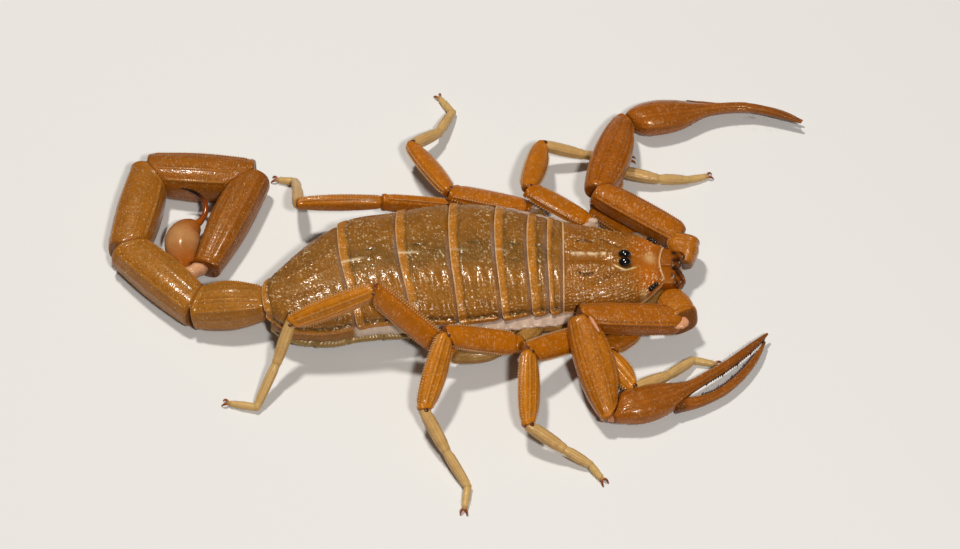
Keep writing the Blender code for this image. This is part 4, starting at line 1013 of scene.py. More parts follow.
def head_shield():
    """The head shield: an arch with eye hill, furrows and grains, and a wall turned down at its edges."""
    total = CARAPACE_FRONT - CARAPACE_REAR
    s = stations(total, 0.052, 0.12)
    x = (CARAPACE_REAR + s)[:, None]
    to_rear = s[:, None]
    to_front = (total - s)[:, None]
    grid = arch(x[:, 0], turns_across(250))
    y = grid[:, :, 1]
    centre, half_width = trunk_at(x[:, 0])[:2]
    out = y - centre
    grid[:, :, 0] -= CARAPACE_NOTCH * (1 - (out / half_width) ** 2) * ease(x, 13.7, CARAPACE_FRONT)
    side, run = side_distance(grid)
    edge = np.minimum(side, to_front)
    from_eyes = grid[:, :, 0] - EYE_X
    away = np.hypot(from_eyes, y - EYE_HILL_LINE)
    middle = y - 0.55
    arc = y - EYE_LINES["right"] + 0.50 - 0.5 * (np.hypot(from_eyes, 0.25) - 0.25)
    shapes = {
        "furrow": bell(middle / (0.24 + 0.08 * ease(x, 11.0, 8.0)), 1.0) * ease(x, 11.3, 10.2),
        "fore": bell(out / (0.34 + 0.3 * ease(x, 12.6, 14.3)), 1.0) * ease(x, 12.2, 12.9),
        "ridges": bell(np.abs(middle) - 0.52, 0.22) * ease(x, 11.6, 10.6) * ease(x, 7.8, 8.4),
        "brow": bell(arc, 0.055) * ease(np.abs(from_eyes), 0.95, 0.6),
        "slit": bell(np.abs(out) - 1.50 + 0.30 * np.abs(x - 9.1), 0.08) * ease(np.abs(x - 9.1), 0.75, 0.45),
        "fold": bell(np.abs(out) - 1.1 - 0.55 * (11.6 - x), 0.20) * ease(x, 9.4, 10.2) * ease(x, 12.3, 11.3),
    }
    smooth_zone = np.clip(np.maximum(shapes["furrow"], 0.8 * shapes["fore"]) + bell(away, 0.8), 0, 1)
    rim = np.clip(ease(edge, 0.15, 0.09) + ease(to_rear, 0.13, 0.08), 0, 1)
    field = (1 - smooth_zone) * (1 - rim)
    settings = relief()
    pitch = settings.grain_pitch / MM * 1.15
    coarse, shine = grains(x / pitch, run / pitch, seed=40)
    clusters = ease(ripple(x * 1.7, run * 1.7, seed=5), -0.30, 0.30)
    height = EYE_HILL_HEIGHT * bell(away, EYE_HILL_REACH)
    height = height + sum(HEAD_HEIGHTS[name] * shape for name, shape in shapes.items())
    height = height + 1.7 * settings.grain_height / MM * coarse * field * (0.35 + 0.85 * clusters)
    height = height + 0.06 * ripple(x * 1.3, run * 1.2, seed=6) * field
    height = height + 0.04 * rim - 0.05 * bell(edge - 0.24, 0.08) - 0.05 * bell(to_rear - 0.24, 0.08)
    points = lifted(grid, height - rounded(to_front, 0.09) - rounded(to_rear, 0.09))
    points = walled(points, lambda top: np.minimum(top - 0.05, COXA_TOP + 0.1), CARAPACE_WALL_STEPS,
                    CARAPACE_WALL_LEAN)
    glow = bell(np.hypot(grid[:, :, 0] - HEAD_GLOW[0], (y - HEAD_GLOW[1]) * 1.1), 0.42)
    corner = bell(np.hypot(grid[:, :, 0] - HEAD_CORNER[0], np.abs(out) - HEAD_CORNER[1]), 0.24)
    ring = bell(np.abs(y - EYE_HILL_LINE - (centre - 0.9) * 0.5) - 0.30, 0.34) * bell(from_eyes, 0.42)
    # Painted highlight: a broken bright streak in the glint colour along the far shoulder of the middle
    # furrow.
    highlight_streak = 1.6 * bell(y - 1.0, 0.10) * ease(x, 8.0, 8.4) * ease(x, 11.1, 10.5)
    highlight_streak = highlight_streak * np.clip(0.4 + 2.0 * ripple(x * 11.0, y * 8.0, seed=23), 0, 1)
    # Dusk: painted shade in the side slits, the middle furrow, the folds and the groove inside the rim, plus
    # the dark ring round the eyes. Pale: the arc under the near eye is a painted highlight. Grain: painted
    # sparkles on the grains and the streak; the rim also takes the glint colour.
    marks = {
        "rim": rim,
        "dusk": 0.95 * shapes["slit"] + 0.22 * shapes["furrow"] + 0.30 * shapes["fold"] + 0.85 * ring
        + 0.25 * bell(edge - 0.24, 0.07),
        "pale": 0.55 * glow + 0.6 * corner + 1.3 * shapes["brow"],
        "warm": ease(x - 0.4 * np.abs(out - 0.3), 11.2, 12.9) + 0.25 * shapes["furrow"],
        "grain": coarse ** 2 * shine * field * (0.3 + 0.9 * clusters) + 0.7 * rim + highlight_streak,
    }
    marks = widened(marks, y.shape, len(CARAPACE_WALL_STEPS), {"rim": 0.3, "dusk": 0.4})
    return close_dome(points, (11.0, 1.0, COXA_TOP + 0.12), **marks)


def soft_sides():
    """The soft body under the back plates: a closed ring of folds that bulge from edge to belly height."""
    forward = MEMBRANE_FRONT - stations(MEMBRANE_FRONT - MEMBRANE_REAR, 0.10, 0.2)
    top = arch(forward, np.linspace(0.0, math.pi, 36), 0.55)
    x = forward[:, None]
    share = np.linspace(0.0, 1.0, 30)[None]
    centre, half_width, edge, _, lag = trunk_at(forward)
    low = np.interp(x, (0.0, 0.8), (STERNITE_TOP - 0.02, COXA_TOP - 0.12))
    inset = np.interp(x, *np.transpose(MEMBRANE_REACH))
    folds = 0.05 * np.sin(x * 2 * math.pi / FOLD_SPACING + 1.2 * ripple(x, seed=9))
    folds = folds + 0.012 * np.sin(x * 2 * math.pi / FINE_FOLD_SPACING + share * 6 + 2 * ripple(x, seed=8))
    swell = np.sin(math.pi * np.clip(share * 0.94 + 0.03, 0, 1)) ** 0.6
    bulge = inset - 0.04 + (MEMBRANE_TUCK - inset) * (1 - swell)
    bulge = bulge + (folds + 0.03 * ripple(x * 2, share * 6, seed=2)) * swell
    height = low + (edge + 0.02 - low) * share
    right, left = (np.stack((x - lag * out, centre + out, height), axis=2)
                   for out in (bulge - half_width, half_width - bulge))
    # Painted light on the folds: the crests paler and the creases darker.
    fold_shade = np.clip(0.5 - 6 * folds, 0, 1) * 0.35

    def around(mark):
        """A side's mark on both sides and zero on the top."""
        return np.concatenate((mark, np.zeros(top.shape[:2]), mark[:, ::-1]), axis=1)

    # Also painted: lighter toward the rear to lift the shade there, and darker at the lowest rows as shade
    # under the body.
    pale = 0.625 * around(0.5 - fold_shade) + 0.35 * ease(x, -2.5, -3.5)
    behind = ease(x, -7.4, -7.9)
    rings = np.concatenate((right, top, left[:, ::-1]), axis=1)
    return close_tube(rings, warm=behind, pale=pale * (1 - behind),
                      dusk=around(fold_shade + 0.5 * ease(share, 0.22, 0.0)))


def belly_plates():
    """The belly plates: a shallow tray with grooves, breathing slits and a pale finely toothed rim."""
    s = stations(STERNITE_FRONT - STERNITE_REAR, 0.075, 0.15)
    x = (STERNITE_FRONT - s)[:, None]
    turns = np.linspace(0.0, math.pi, 120)[None]
    centre, half_width, _, _, lag = trunk_at(x[:, 0])
    groove = sum(bell(x - place, 0.10) for place in STERNITE_GROOVES)
    lip = sum(bell(x - place - 0.22, 0.12) for place in STERNITE_GROOVES)
    low = np.interp(x, COMB_REACH, (BELLY_HEIGHT, BELLY_HEIGHT_OVER_COMBS))
    taper = np.interp(x, (STERNITE_REAR, STERNITE_GROOVES[-1]), (0.35, 0.0))
    step = 0.03 * lip - 0.10 * groove
    out = -(half_width + step + 0.02 * np.sin(x * 2 * math.pi / 0.24)) * np.cos(turns)
    rim = STERNITE_TOP - STERNITE_RIM
    z = rim - (rim - low + step) * np.sin(turns) ** 0.6 + taper
    slit = np.max([bell(x - place, 0.09) * bell(np.abs(out) - 0.62 * half_width, 0.34)
                   for place in BREATHING_SLITS], axis=0)
    tray = np.stack((x - lag * out, centre + out, z + 0.12 * slit), axis=2)
    rise = np.array(BELLY_WALL)
    inward = -0.048 * (1 - (rise / rise[0] - 0.5) ** 2 * 4)
    walls = [np.repeat(tray[:, column], len(rise), axis=1) + np.stack((0 * rise, sign * inward, rise), axis=1)
             for column, sign in ((slice(0, 1), 1.0), (slice(-1, None), -1.0))]
    points = np.concatenate((walls[0], tray, walls[1][:, ::-1]), axis=1)
    bead = 0.5 + 0.5 * np.cos(x * 2 * math.pi / 0.22)
    # Painted shade in the grooves between the plates; the breathing slits are dark.
    marks = {"rim": 0.6 * lip + ease(np.sin(turns), 0.10, 0.03) * bead, "dusk": 0.7 * groove + slit,
             "pale": 0.25 * np.sin(turns) ** 2}
    apex = points[len(s) // 2, points.shape[1] // 2] + (0.0, 0.0, 0.8)
    return close_dome(points, apex, **widened(marks, z.shape, len(rise), {"rim": 0.35, "dusk": 0.4}))


# ------------------------------------------------------------------------------ limbs


def frames(path, normal):
    """Heading, breadth direction and facing direction at each point of a path."""
    heading = unit(np.gradient(path, axis=0))
    across = unit(np.cross(np.asarray(normal, float), heading))
    return heading, across, np.cross(heading, across)


def turned_from(angle, place):
    """The turn in radians from a place in degrees to an angle, from -pi to pi."""
    return (angle - math.radians(place) + math.pi) % (2 * math.pi) - math.pi


def tube(path, breadth, thickness, normal, sides, power=1.0, keels=(), grain=0.5, keel_span=(0.0, 0.0),
         seed=1, dents=None):
    """Rings square to a path: a superellipse of breadth and thickness with beaded keels and round grains.

    A ring point stands off by (b cos^p, t sin^p); each keel adds height * e^-(arc / width)^2 there, and
    dents adds its own. Dark lines run beside the keels.
    """
    _, across, facing = frames(path, normal)
    turn = np.arange(sides) * 2 * math.pi / sides
    s = lengths_of(path)
    flat = breadth[:, None] * powered(np.cos(turn), power)
    tall = thickness[:, None] * powered(np.sin(turn), power)
    radius = np.hypot(flat, tall)
    angle = np.arctan2(tall, flat)
    fade = ease(s, keel_span[0], keel_span[0] + 0.35) * ease(s[-1] - s, keel_span[1], keel_span[1] + 0.35)
    fade = fade[:, None]
    added, bright, dim = np.zeros((3, *radius.shape))
    for place, height, width, _, shine, dark in keels:
        arc = turned_from(angle, place) * radius
        line = bell(arc, width) * fade
        added += relief().keel_scale * height * line
        bright = np.maximum(bright, shine * line)
        dim = np.maximum(dim, dark * bell(np.abs(arc) - 2.0 * width, 0.055) * fade)
    pitch = relief().grain_pitch / MM * 0.9
    wrap = max(int(round(2 * math.pi * float(radius.mean()) / pitch)), 6)
    around = np.broadcast_to(turn / (2 * math.pi) * wrap, radius.shape)
    spots, shine = grains(s[:, None] / pitch, around, wrap=wrap, seed=seed)
    plain = fade * (1 - 0.8 * np.clip(added / 0.05, 0, 1))
    added += relief().grain_height / MM * grain * spots * plain
    if dents is not None:
        added += dents(s, angle)
    scale = (radius + added) / np.maximum(radius, 1e-6)
    offset = across[:, None] * (flat * scale)[:, :, None] + facing[:, None] * (tall * scale)[:, :, None]
    # The grain mark paints sparkles, a painted highlight, on the picked grains.
    marks = {"rim": bright * (0.35 + 0.9 * spots), "dusk": dim,
             "grain": 0.75 * grain * spots ** 2 * shine * plain}
    return Tube(path[:, None] + offset, offset, marks, s)


def closed(made, **marks):
    """The closed body of a tube; a mark may be given as a formula of the distance along it."""
    given = {name: mark(made.s)[:, None] if callable(mark) else mark for name, mark in marks.items()}
    return close_tube(made.rings, **(made.marks | given))


def bulb_ends(s, radii, blunts):
    """Size share along a tube with rounded ends: blunt + (1 - blunt) sqrt(1 - (1 - d / r)^2)."""
    size = np.ones_like(s)
    for distance, radius, blunt in zip((s, s[-1] - s), np.broadcast_to(radii, 2), np.broadcast_to(blunts, 2)):
        near = np.clip(1.0 - distance / radius, 0.0, 1.0)
        size = size * (blunt + (1 - blunt) * np.sqrt(1 - near ** 2))
    return size


def leaned(made, path, joint, heading, neighbour, at_end, reach, gap, most=0.26):
    """Slides the rings near one end along the limb until the end lies on the joint's bisecting plane."""
    plane = unit(unit(heading) + unit(neighbour))
    lean = float(plane @ unit(heading))
    sign = 1.0 if at_end else -1.0
    slide = np.minimum(-sign * (made.offset @ plane) / lean, most * np.linalg.norm(made.offset, axis=2))
    share = np.clip(1.0 - np.linalg.norm(path - joint, axis=1) / reach, 0.0, 1.0) ** 2
    slide = sign * (slide - gap / lean) * share[:, None]
    return made._replace(rings=made.rings + slide[:, :, None] * unit(heading))


def keel_teeth(made, across, facing, keels, span, size, shine):
    """Rows of small teeth on the keels: at even steps the surface point at a keel's angle, raised outward."""
    angle = np.arctan2(made.offset @ facing, made.offset @ across)
    row = np.arange(len(made.s))
    rows = []
    for place, _, _, pitch, *_ in keels:
        if pitch:
            column = np.abs(turned_from(angle, place)).argmin(axis=1)
            where = np.arange(span[0] + 0.05, made.s[-1] - span[1], pitch)
            both = np.hstack((made.rings[row, column], made.offset[row, column]))
            rows.append(np.stack([np.interp(where, made.s, axis) for axis in both.T], axis=1))
    roots, away = np.hsplit(np.vstack(rows), 2)
    away = unit(away)
    ahead = unit(made.rings[-1].mean(axis=0) - made.rings[0].mean(axis=0))
    return spikes(roots - 0.02 * away, roots + size * (away + 0.25 * ahead), 0.5 * size, grain=shine)


def segment(start, end, breadth, thickness, normal, before, after, sides=72, power=0.8, keels=(), grain=0.5,
            blunt=(0.52, 0.80), gap=(-0.12, 0.0), step=0.055, collar=0.05, seed=1, dark_joint=0.6,
            keel_span=(0.30, 0.22), radius=(0.65, 0.16), warm=0.0, teeth=0.10, most=(0.12, 0.26), shine=0.15):
    """One straight limb segment: a keeled tube narrow at its start and blunt at its end, leaned at both."""
    start = np.asarray(start, float)
    end = np.asarray(end, float)
    total = float(np.linalg.norm(end - start))
    s = stations(total, step, 0.14)
    path = start + np.outer(s / total, end - start)
    girth = bulb_ends(s, radius, blunt)
    girth = girth + collar * bell(total - s - 0.22, 0.12) - collar * bell(total - s - 0.50, 0.14)
    wide, deep = (smooth_curve(s / total, np.linspace(0.0, 1.0, len(sizes)), sizes) * girth
                  for sizes in (breadth, thickness))
    made = tube(path, wide, deep, normal, sides, power, keels, grain, keel_span, seed)
    heading = unit(end - start)
    for joint, neighbour, at_end in ((start, before, False), (end, after, True)):
        neighbour = heading if neighbour is None else neighbour
        made = leaned(made, path, joint, heading, neighbour, at_end, 0.8 * total, gap[at_end], most[at_end])
    ends = np.maximum(ease(s, 0.30, 0.04), ease(total - s, 0.16, 0.03))[:, None]
    shells = [closed(made, dusk=np.maximum(dark_joint * ends, made.marks["dusk"]), warm=warm)]
    if keels:
        across = unit(np.cross(np.asarray(normal, float), heading))
        facing = np.cross(heading, across)
        shells.append(keel_teeth(made, across, facing, keels, keel_span, teeth, shine))
    return shells


def knob(centre, size, axes, rows=22, sides=28, wrinkle=0.05, **marks):
    """A wrinkled ellipsoid: the three axes times cos and sin of latitude and longitude."""
    rise = np.linspace(-math.pi / 2, math.pi / 2, rows + 2)[1:-1][:, None]
    turn = (np.arange(sides) * 2 * math.pi / sides)[None]
    swell = 1.0 + wrinkle * np.sin(5 * rise * 2) * np.cos(turn)
    local = np.stack((np.sin(rise) + 0 * turn, np.cos(rise) * np.cos(turn) * swell,
                      np.cos(rise) * np.sin(turn) * swell), axis=2)
    points = np.asarray(centre) + (local * np.asarray(size)) @ np.asarray(axes)
    return close_tube(points, **marks)


def joint_skin(before, joint, after, normal, breadth, thickness, push=0.30, **marks):
    """Soft skin in a joint: a knob at the joint pushed into the bend, long across the fold."""
    back = unit(np.subtract(before, joint))
    on = unit(np.subtract(after, joint))
    inner = back + on
    if np.linalg.norm(inner) < 0.15:
        inner = np.cross(normal, on)
    inner = unit(inner)
    facing = unit(np.cross(inner, unit(on - back)))
    centre = np.asarray(joint, float) + inner * breadth * push
    return knob(centre, (breadth * 0.82, thickness * 0.86, breadth * 0.80),
                np.array((inner, facing, np.cross(inner, facing))), **marks)


def curved(path, count, breadths, thicknesses, normal, sides, radius=0.1, blunt=(0.6, 0.1), **options):
    """A tube through given points, its size run through the given values, with rounded ends."""
    knots = lengths_of(path)
    end = min(radius, knots[-1] / 4)
    s = stations(knots[-1], knots[-1] / count, end)
    girth = bulb_ends(s, end, blunt)
    where = np.linspace(0.0, knots[-1], len(breadths)) if len(breadths) != len(path) else knots
    wide, deep = (np.maximum(smooth_curve(s, where, sizes), 0.01) * girth
                  for sizes in (breadths, thicknesses))
    return tube(smooth_curve(s, knots, path), wide, deep, normal, sides, **options)


def bend_normal(first, second):
    """The axis a limb bends about, pointing up: the thin way through both segments."""
    axis = unit(np.cross(first, second))
    return axis if axis[2] > 0 else -axis


def coxa_root(leg):
    """Where a leg's coxa starts, mirrored about the body's centre line for the left side."""
    side, number = leg.split("_")
    x, out, z = COXA_ROOTS[number]
    return np.array((x, BODY_LINE + (out if side == "left" else -out), z))


def coxa(root, hip, after, bow, breadth, depth, seed):
    """One coxa: a grained lobe from under the body to the limb's hip, bowed outward in its middle."""
    root = np.asarray(root, float)
    hip = np.asarray(hip, float)
    far = hip[1] > BODY_LINE
    middle = 0.5 * (root + hip) + (0.0, bow if far else -bow, 0.0)
    path = along((root, middle, hip), 46)
    t = np.linspace(0.0, 1.0, len(path))
    wide, deep = (smooth_curve(t, (0, 0.5, 1), sizes) * bulb_ends(t, 0.05, 0.6) for sizes in (breadth, depth))
    made = tube(path, wide, deep, UP, 48, keels=COXA_KEELS, seed=seed)
    made = leaned(made, path, hip, hip - middle, after, True, float(np.linalg.norm(hip - middle)), 0.02)
    to_hip = (made.s[-1] - made.s)[:, None]
    dark = 0.0 if far else 0.6 * ease(to_hip, 0.3, 0.05)
    return closed(made, dusk=np.maximum(dark, made.marks["dusk"]), warm=0.25,
                  pale=0.9 * ease(to_hip, 0.9, 0.3) if far else 0.0)


def breastplate():
    """The breast: a squarish tube along the body, darker along the seams between the coxae."""
    forward = stations(BREAST[-1, 0] - BREAST[0, 0], 0.12, 0.2) + BREAST[0, 0]
    half = np.interp(forward, BREAST[:, 0], BREAST[:, 1])
    path = np.stack(np.broadcast_arrays(forward, BODY_LINE, 0.5 * (COXA_TOP + BREAST_HEIGHT)), axis=1)
    girth = bulb_ends(forward - forward[0], 0.25, 0.5)
    tall = 0.5 * (COXA_TOP - BREAST_HEIGHT) - 0.02
    made = tube(path, half * girth, tall * girth, UP, 90, 0.62, grain=0.3)
    x, y, _ = np.moveaxis(made.rings, 2, 0)
    seam = bell(np.abs(y - BODY_LINE) - 1.25 - 0.005 * (x - 8) ** 2, 0.09)
    return closed(made, dusk=0.6 * seam, warm=0.4)


def comb(side):
    """One comb: a jointed shaft, a row of bead-like bases and a row of blade teeth along its rear edge."""
    sign = -1.0 if side == "right" else 1.0
    root = np.array((PECTEN_ROOT[0], BODY_LINE + sign * PECTEN_ROOT[1], PECTEN_HEIGHT + 0.30))
    heading = unit((PECTEN_HEADING[0], sign * PECTEN_HEADING[1], 0.0))
    rearward = -sign * np.cross(heading, UP)
    t = np.linspace(0.0, 1.0, 7)[:, None]
    shaft = root + heading * PECTEN_LENGTH * t + rearward * (0.12 - 0.2 * np.sin(math.pi * t))
    shells = [closed(curved(shaft, 70, PECTEN_SHAFT_BREADTH, (0.19,) * 7, UP, 20, grain=0.2,
                            dents=lambda s, angle: -0.05 * bell((s % 1.6) - 0.8, 0.06)[:, None]))]
    lean = unit(rearward - 0.15 * heading)
    for tooth in range(PECTEN_TEETH):
        share = (tooth + 0.5) / PECTEN_TEETH
        width = PECTEN_WIDTH * (0.55 + 0.45 * math.sin(math.pi * min(1.0, share + 0.12)))
        base = root + heading * PECTEN_LENGTH * share + rearward * 0.36
        shells.append(knob(base, (0.12, 0.10, 0.14), (heading, rearward, UP), 8, 10, 0.0, rim=0.4))
        blade = [base + lean * step for step in (0.06, width * 0.35, width * 0.68)]
        shells.append(closed(curved(blade, 10, (0.09, 0.12, 0.07), (0.10, 0.13, 0.08), UP, 10, grain=0.0,
                                    blunt=(0.6, 0.3)), pale=0.5))
    return shells


def foot(joints, before, normal, seed):
    """Shin, ankle and heel segments, two curved claws and a spur."""
    shin, ankle, heel, toe = (np.asarray(joint, float) for joint in joints)
    tibia, ahead, last = ankle - shin, heel - ankle, toe - heel
    shells = [
        *segment(shin, ankle, TIBIA_RADII, TIBIA_RADII, normal, before, ahead, seed=seed, **TIBIA),
        *segment(ankle, heel, BASITARSUS_RADII, BASITARSUS_RADII, normal, tibia, last, seed=seed + 1,
                 **BASITARSUS),
        *segment(heel, toe, TARSUS_RADII, TARSUS_RADII, normal, ahead, last, seed=seed + 2, **TARSUS),
    ]
    forward = unit(last)
    across = unit(np.cross(UP, forward)) * CLAW_SPREAD
    for sign in (-1.0, 1.0):
        tip = toe + forward * CLAW_LENGTH + sign * across - UP * CLAW_DROP
        knee = toe + forward * CLAW_LENGTH * 0.55 + sign * across * 0.8 + UP * 0.10
        claw = curved((toe - forward * 0.05, knee, tip), 14, (0.10, 0.085, 0.02), (0.11, 0.09, 0.02), UP, 12,
                      grain=0.0)
        shells.append(closed(claw, dusk=lambda s: ease(s, 0.05, 0.35)))
    spur = (toe, toe + forward * 0.1 - UP * 0.06, toe + forward * SPUR_REACH - UP * SPUR_DROP)
    shells.append(closed(curved(spur, 8, (0.07, 0.05, 0.02), (0.07, 0.05, 0.02), UP, 8, grain=0.0), dusk=0.7))
    return shells


def bristles(start, end, radius, count, normal, seed, long=0.30):
    """Small stiff hairs on one segment: roots at random on its side, leaning toward the far end."""
    source = np.random.default_rng(seed)
    share = source.uniform(0.08, 0.95, count)
    angle = source.uniform(0.0, 2 * math.pi, count)
    heading = unit(np.subtract(end, start))
    across = unit(np.cross(normal, heading))
    facing = np.cross(heading, across)
    away = np.cos(angle)[:, None] * across + np.sin(angle)[:, None] * facing
    roots = np.asarray(start) + share[:, None] * np.subtract(end, start) + away * radius * 0.93
    reach = long * source.uniform(0.6, 1.2, count)[:, None]
    tips = roots + (0.75 * away + 0.66 * heading) * reach
    tips[:, 2] = np.maximum(tips[:, 2], 0.02)
    return spikes(roots, tips, HAIR_RADIUS, dusk=0.75)


def build_leg(leg, number):
    """One leg: trochanter, femur and patella, their joint skins, and the foot."""
    hip, knee, shin, ankle, heel, toe = (np.asarray(joint, float) for joint in LEGS[leg])
    femur = knee - hip
    patella = shin - knee
    normal = bend_normal(femur, patella)
    neck = hip + TROCHANTER_SHARE * femur
    behind, beyond = (reach * unit(femur) for reach in TROCHANTER_REACH)
    fullness = PATELLA_FULLNESS.get(leg, 1.0)
    patella_breadth = fullness * np.array(PATELLA_BREADTH)
    sidewise = NEAR_PATELLA if leg.startswith("right") else FAR_PATELLA
    seed = 10 * number
    shells = [
        *segment(hip - behind, neck + beyond, TROCHANTER_BREADTH, TROCHANTER_THICKNESS, normal, None, femur,
                 seed=seed, **LEG_TROCHANTER),
        *segment(neck, knee, FEMUR_BREADTH, FEMUR_THICKNESS, normal, femur, patella, seed=seed + 1,
                 **LEG_FEMUR),
        *segment(knee, shin, patella_breadth, PATELLA_THICKNESS, normal, femur, ankle - shin, seed=seed + 2,
                 **LEG_PATELLA, **sidewise),
        joint_skin(neck - femur, neck, knee, normal, 0.42, 0.42, push=0.0, pale=0.9),
        joint_skin(hip, knee, shin, normal, 0.50, 0.40, **LEG_SKIN),
        joint_skin(knee, shin, ankle, normal, 0.42 * fullness, 0.36, **LEG_SKIN),
    ]
    for joint in (knee, shin):
        shells.append(knob(joint + JOINT_PIT_LIFT * normal, JOINT_PIT_SIZE, np.eye(3), wrinkle=0.0, dusk=1.0))
    if leg in HIP_SKINS:
        # A pale joint skin at some far hips, with a touch of glint colour as a painted highlight.
        shells.append(knob(hip + HIP_SKINS[leg], HIP_SKIN_SIZE, np.eye(3), wrinkle=0.08, pale=1.0, grain=0.3))
    put_piece(f"leg_{leg}_upper", shells, "limb", (f"leg_{leg}_femur", f"leg_{leg}_patella"))
    joints = (shin, ankle, heel, toe)
    shells = foot(joints, patella, normal, seed + 5)
    for index, size in enumerate(FOOT_SKINS):
        shells.append(joint_skin(*joints[index:index + 3], normal, size, size, push=0.1, pale=0.4))
    for index, (radius, count, long) in enumerate(FOOT_HAIRS):
        shells.append(bristles(*joints[index:index + 2], radius, count, normal, seed + index, long))
    put_piece(f"leg_{leg}_lower", shells, "foot", (f"leg_{leg}_foot",))


# ------------------------------------------------------------------------------ pincer arms


def finger_teeth(path, toward, girths):
    """Rows of small dark teeth along a finger's inner edge, set out on its path and leaning inward."""
    knots = lengths_of(path)
    s = np.arange(0.12 * knots[-1], 0.97 * knots[-1], FINGER_TOOTH_SPACING)
    line, toward_line = (smooth_curve(s, knots, np.asarray(points, float)) for points in (path, toward))
    lean = unit(toward_line - line)
    girth = np.interp(s / knots[-1], (0.0, 0.5, 1.0), girths)[:, None]
    big = np.where(np.arange(len(s)) % 7 == 0, 1.35, 1.0)[:, None]
    roots = line + lean * girth * 0.92
    return spikes(roots, roots + lean * FINGER_TOOTH * big, 0.5 * FINGER_TOOTH * big[:, 0], dusk=1.0)


def hand(side, wrist, palm_end, before):
    """The swollen palm drawn out into the fixed finger: a tube through palm and finger with weak keels."""
    fingers = np.array(FIXED_FINGERS[side])
    axis = unit(palm_end - wrist)
    shift = np.array((0.0, PALM_SHIFT[side], 0.0))
    near, middle, far = (wrist + step * (palm_end - wrist) + shift for step in PALM_STEPS)
    palm = (wrist, wrist + 0.25 * axis + 0.4 * shift, near, middle, far + PALM_TURN * (fingers[0] - palm_end))
    path = np.vstack((palm, fingers[0], along(fingers, 6)[1:]))
    made = curved(path, 170, HAND_HALF_WIDTHS, HAND_HALF_HEIGHTS, UP, 84, keels=HAND_KEELS, grain=0.45,
                  blunt=(0.6, 0.15), seed=61, power=0.9, keel_span=(0.5, 4.0))
    made = leaned(made, made.rings.mean(axis=1), wrist, palm_end - wrist, before, False, 2.0, 0.02)
    s = made.s[:, None]
    ends = 0.6 * ease(s, 0.25, 0.05) + 0.35 * ease(s / s[-1], 0.60, 0.95)
    return closed(made, dusk=np.maximum(ends, made.marks["dusk"]), warm=0.5 * ease(s / s[-1], 0.35, 0.1))


def near_arm_skins(shoulder, elbow):
    """The soft folds that show at the near arm's elbow and shoulder."""
    fold = unit(ELBOW_SKIN_HEADING)
    across = unit(np.cross(UP, fold))
    axes = (fold, across, np.cross(fold, across))
    # The elbow and shoulder skins take some glint colour as painted highlights; the thin shoulder fold lines
    # are painted bright in the rim and glint colours as highlights.
    shells = [
        knob(elbow + ELBOW_SKIN, ELBOW_SKIN_SIZE, axes, wrinkle=0.1, pale=0.8, grain=0.25),
        knob(shoulder + SHOULDER_SKIN, SHOULDER_SKIN_SIZE, np.eye(3), pale=0.75, grain=0.25),
    ]
    radii = (0.05, 0.09, 0.05)
    return shells + [closed(curved(line, 16, radii, radii, UP, 12, grain=0.0), rim=1.0, grain=0.9)
                     for line in SHOULDER_FOLDS]


def build_pincer(side):
    """One pincer arm from its trochanter to the tips of its two fingers."""
    hip, shoulder, elbow, wrist, palm_end = (np.asarray(joint, float) for joint in PALPS[side])
    base = hip - np.array(PALP_COXA_ROOTS[side])
    arms = (base, shoulder - hip, elbow - shoulder, wrist - elbow, palm_end - wrist)
    near = side == "right"
    seed = ARM_SEEDS[side]
    shells = [
        *segment(hip, shoulder + 0.25 * unit(arms[1]), PALP_TROCHANTER, PALP_TROCHANTER, UP, arms[0], None,
                 seed=seed, **ARM_TROCHANTER),
        *segment(shoulder + 0.22 * unit(arms[2]), elbow, PALP_FEMUR_BREADTH, PALP_FEMUR_THICKNESS, UP, None,
                 arms[3], seed=seed + 1, **ARM_FEMUR),
        *(near_arm_skins(shoulder, elbow) if near else ()),
    ]
    put_piece(f"pincer_arm_{side}_upper", shells, "pincer",
              (f"palp_{side}_trochanter", f"palp_{side}_femur"))
    shells = [
        *segment(elbow, wrist, PALP_PATELLA_BREADTH, PALP_PATELLA_THICKNESS, UP, arms[2], arms[4],
                 seed=seed + 2, warm=0.25 if near else 0.0, **ARM_PATELLA),
        joint_skin(elbow, wrist, palm_end, UP, 0.45, 0.45, push=0.1, pale=0.7),
    ]
    put_piece(f"pincer_arm_{side}_lower", shells, "pincer", (f"palp_{side}_patella",))
    fixed = along(FIXED_FINGERS[side], 24)
    moving = along(MOVABLE_FINGERS[side], 24)
    shells = [
        hand(side, wrist, palm_end, arms[3]), finger_teeth(fixed[2:], moving[2:], FIXED_FINGER_GIRTH),
        bristles(fixed[4], fixed[-3], 0.34, FINGER_HAIRS, UP, seed + 3),
    ]
    put_piece(f"hand_{side}", shells, "hand", (f"palp_{side}_hand",))
    joints = np.array(MOVABLE_FINGERS[side])
    joints[0] += FINGER_START[side]
    finger = curved(joints, 120, FINGER_RADII, FINGER_RADII, UP, 60, grain=0.3, keels=FINGER_KEELS,
                    blunt=(0.5, 0.15), seed=seed + 4, keel_span=(0.8, 0.4))
    s = finger.s[:, None]
    ends = 0.7 * ease(s, 1.1, 0.4) + 0.25 * ease(s, 3.0, 6.0)
    shells = [
        closed(finger, dusk=np.maximum(ends, finger.marks["dusk"])),
        finger_teeth(moving[2:], fixed[2:], MOVABLE_FINGER_GIRTH),
        bristles(moving[3], moving[-3], 0.32, FINGER_HAIRS, UP, seed + 5),
    ]
    put_piece(f"finger_{side}", shells, "hand", (f"palp_{side}_finger",))


# ------------------------------------------------------------------------------ head


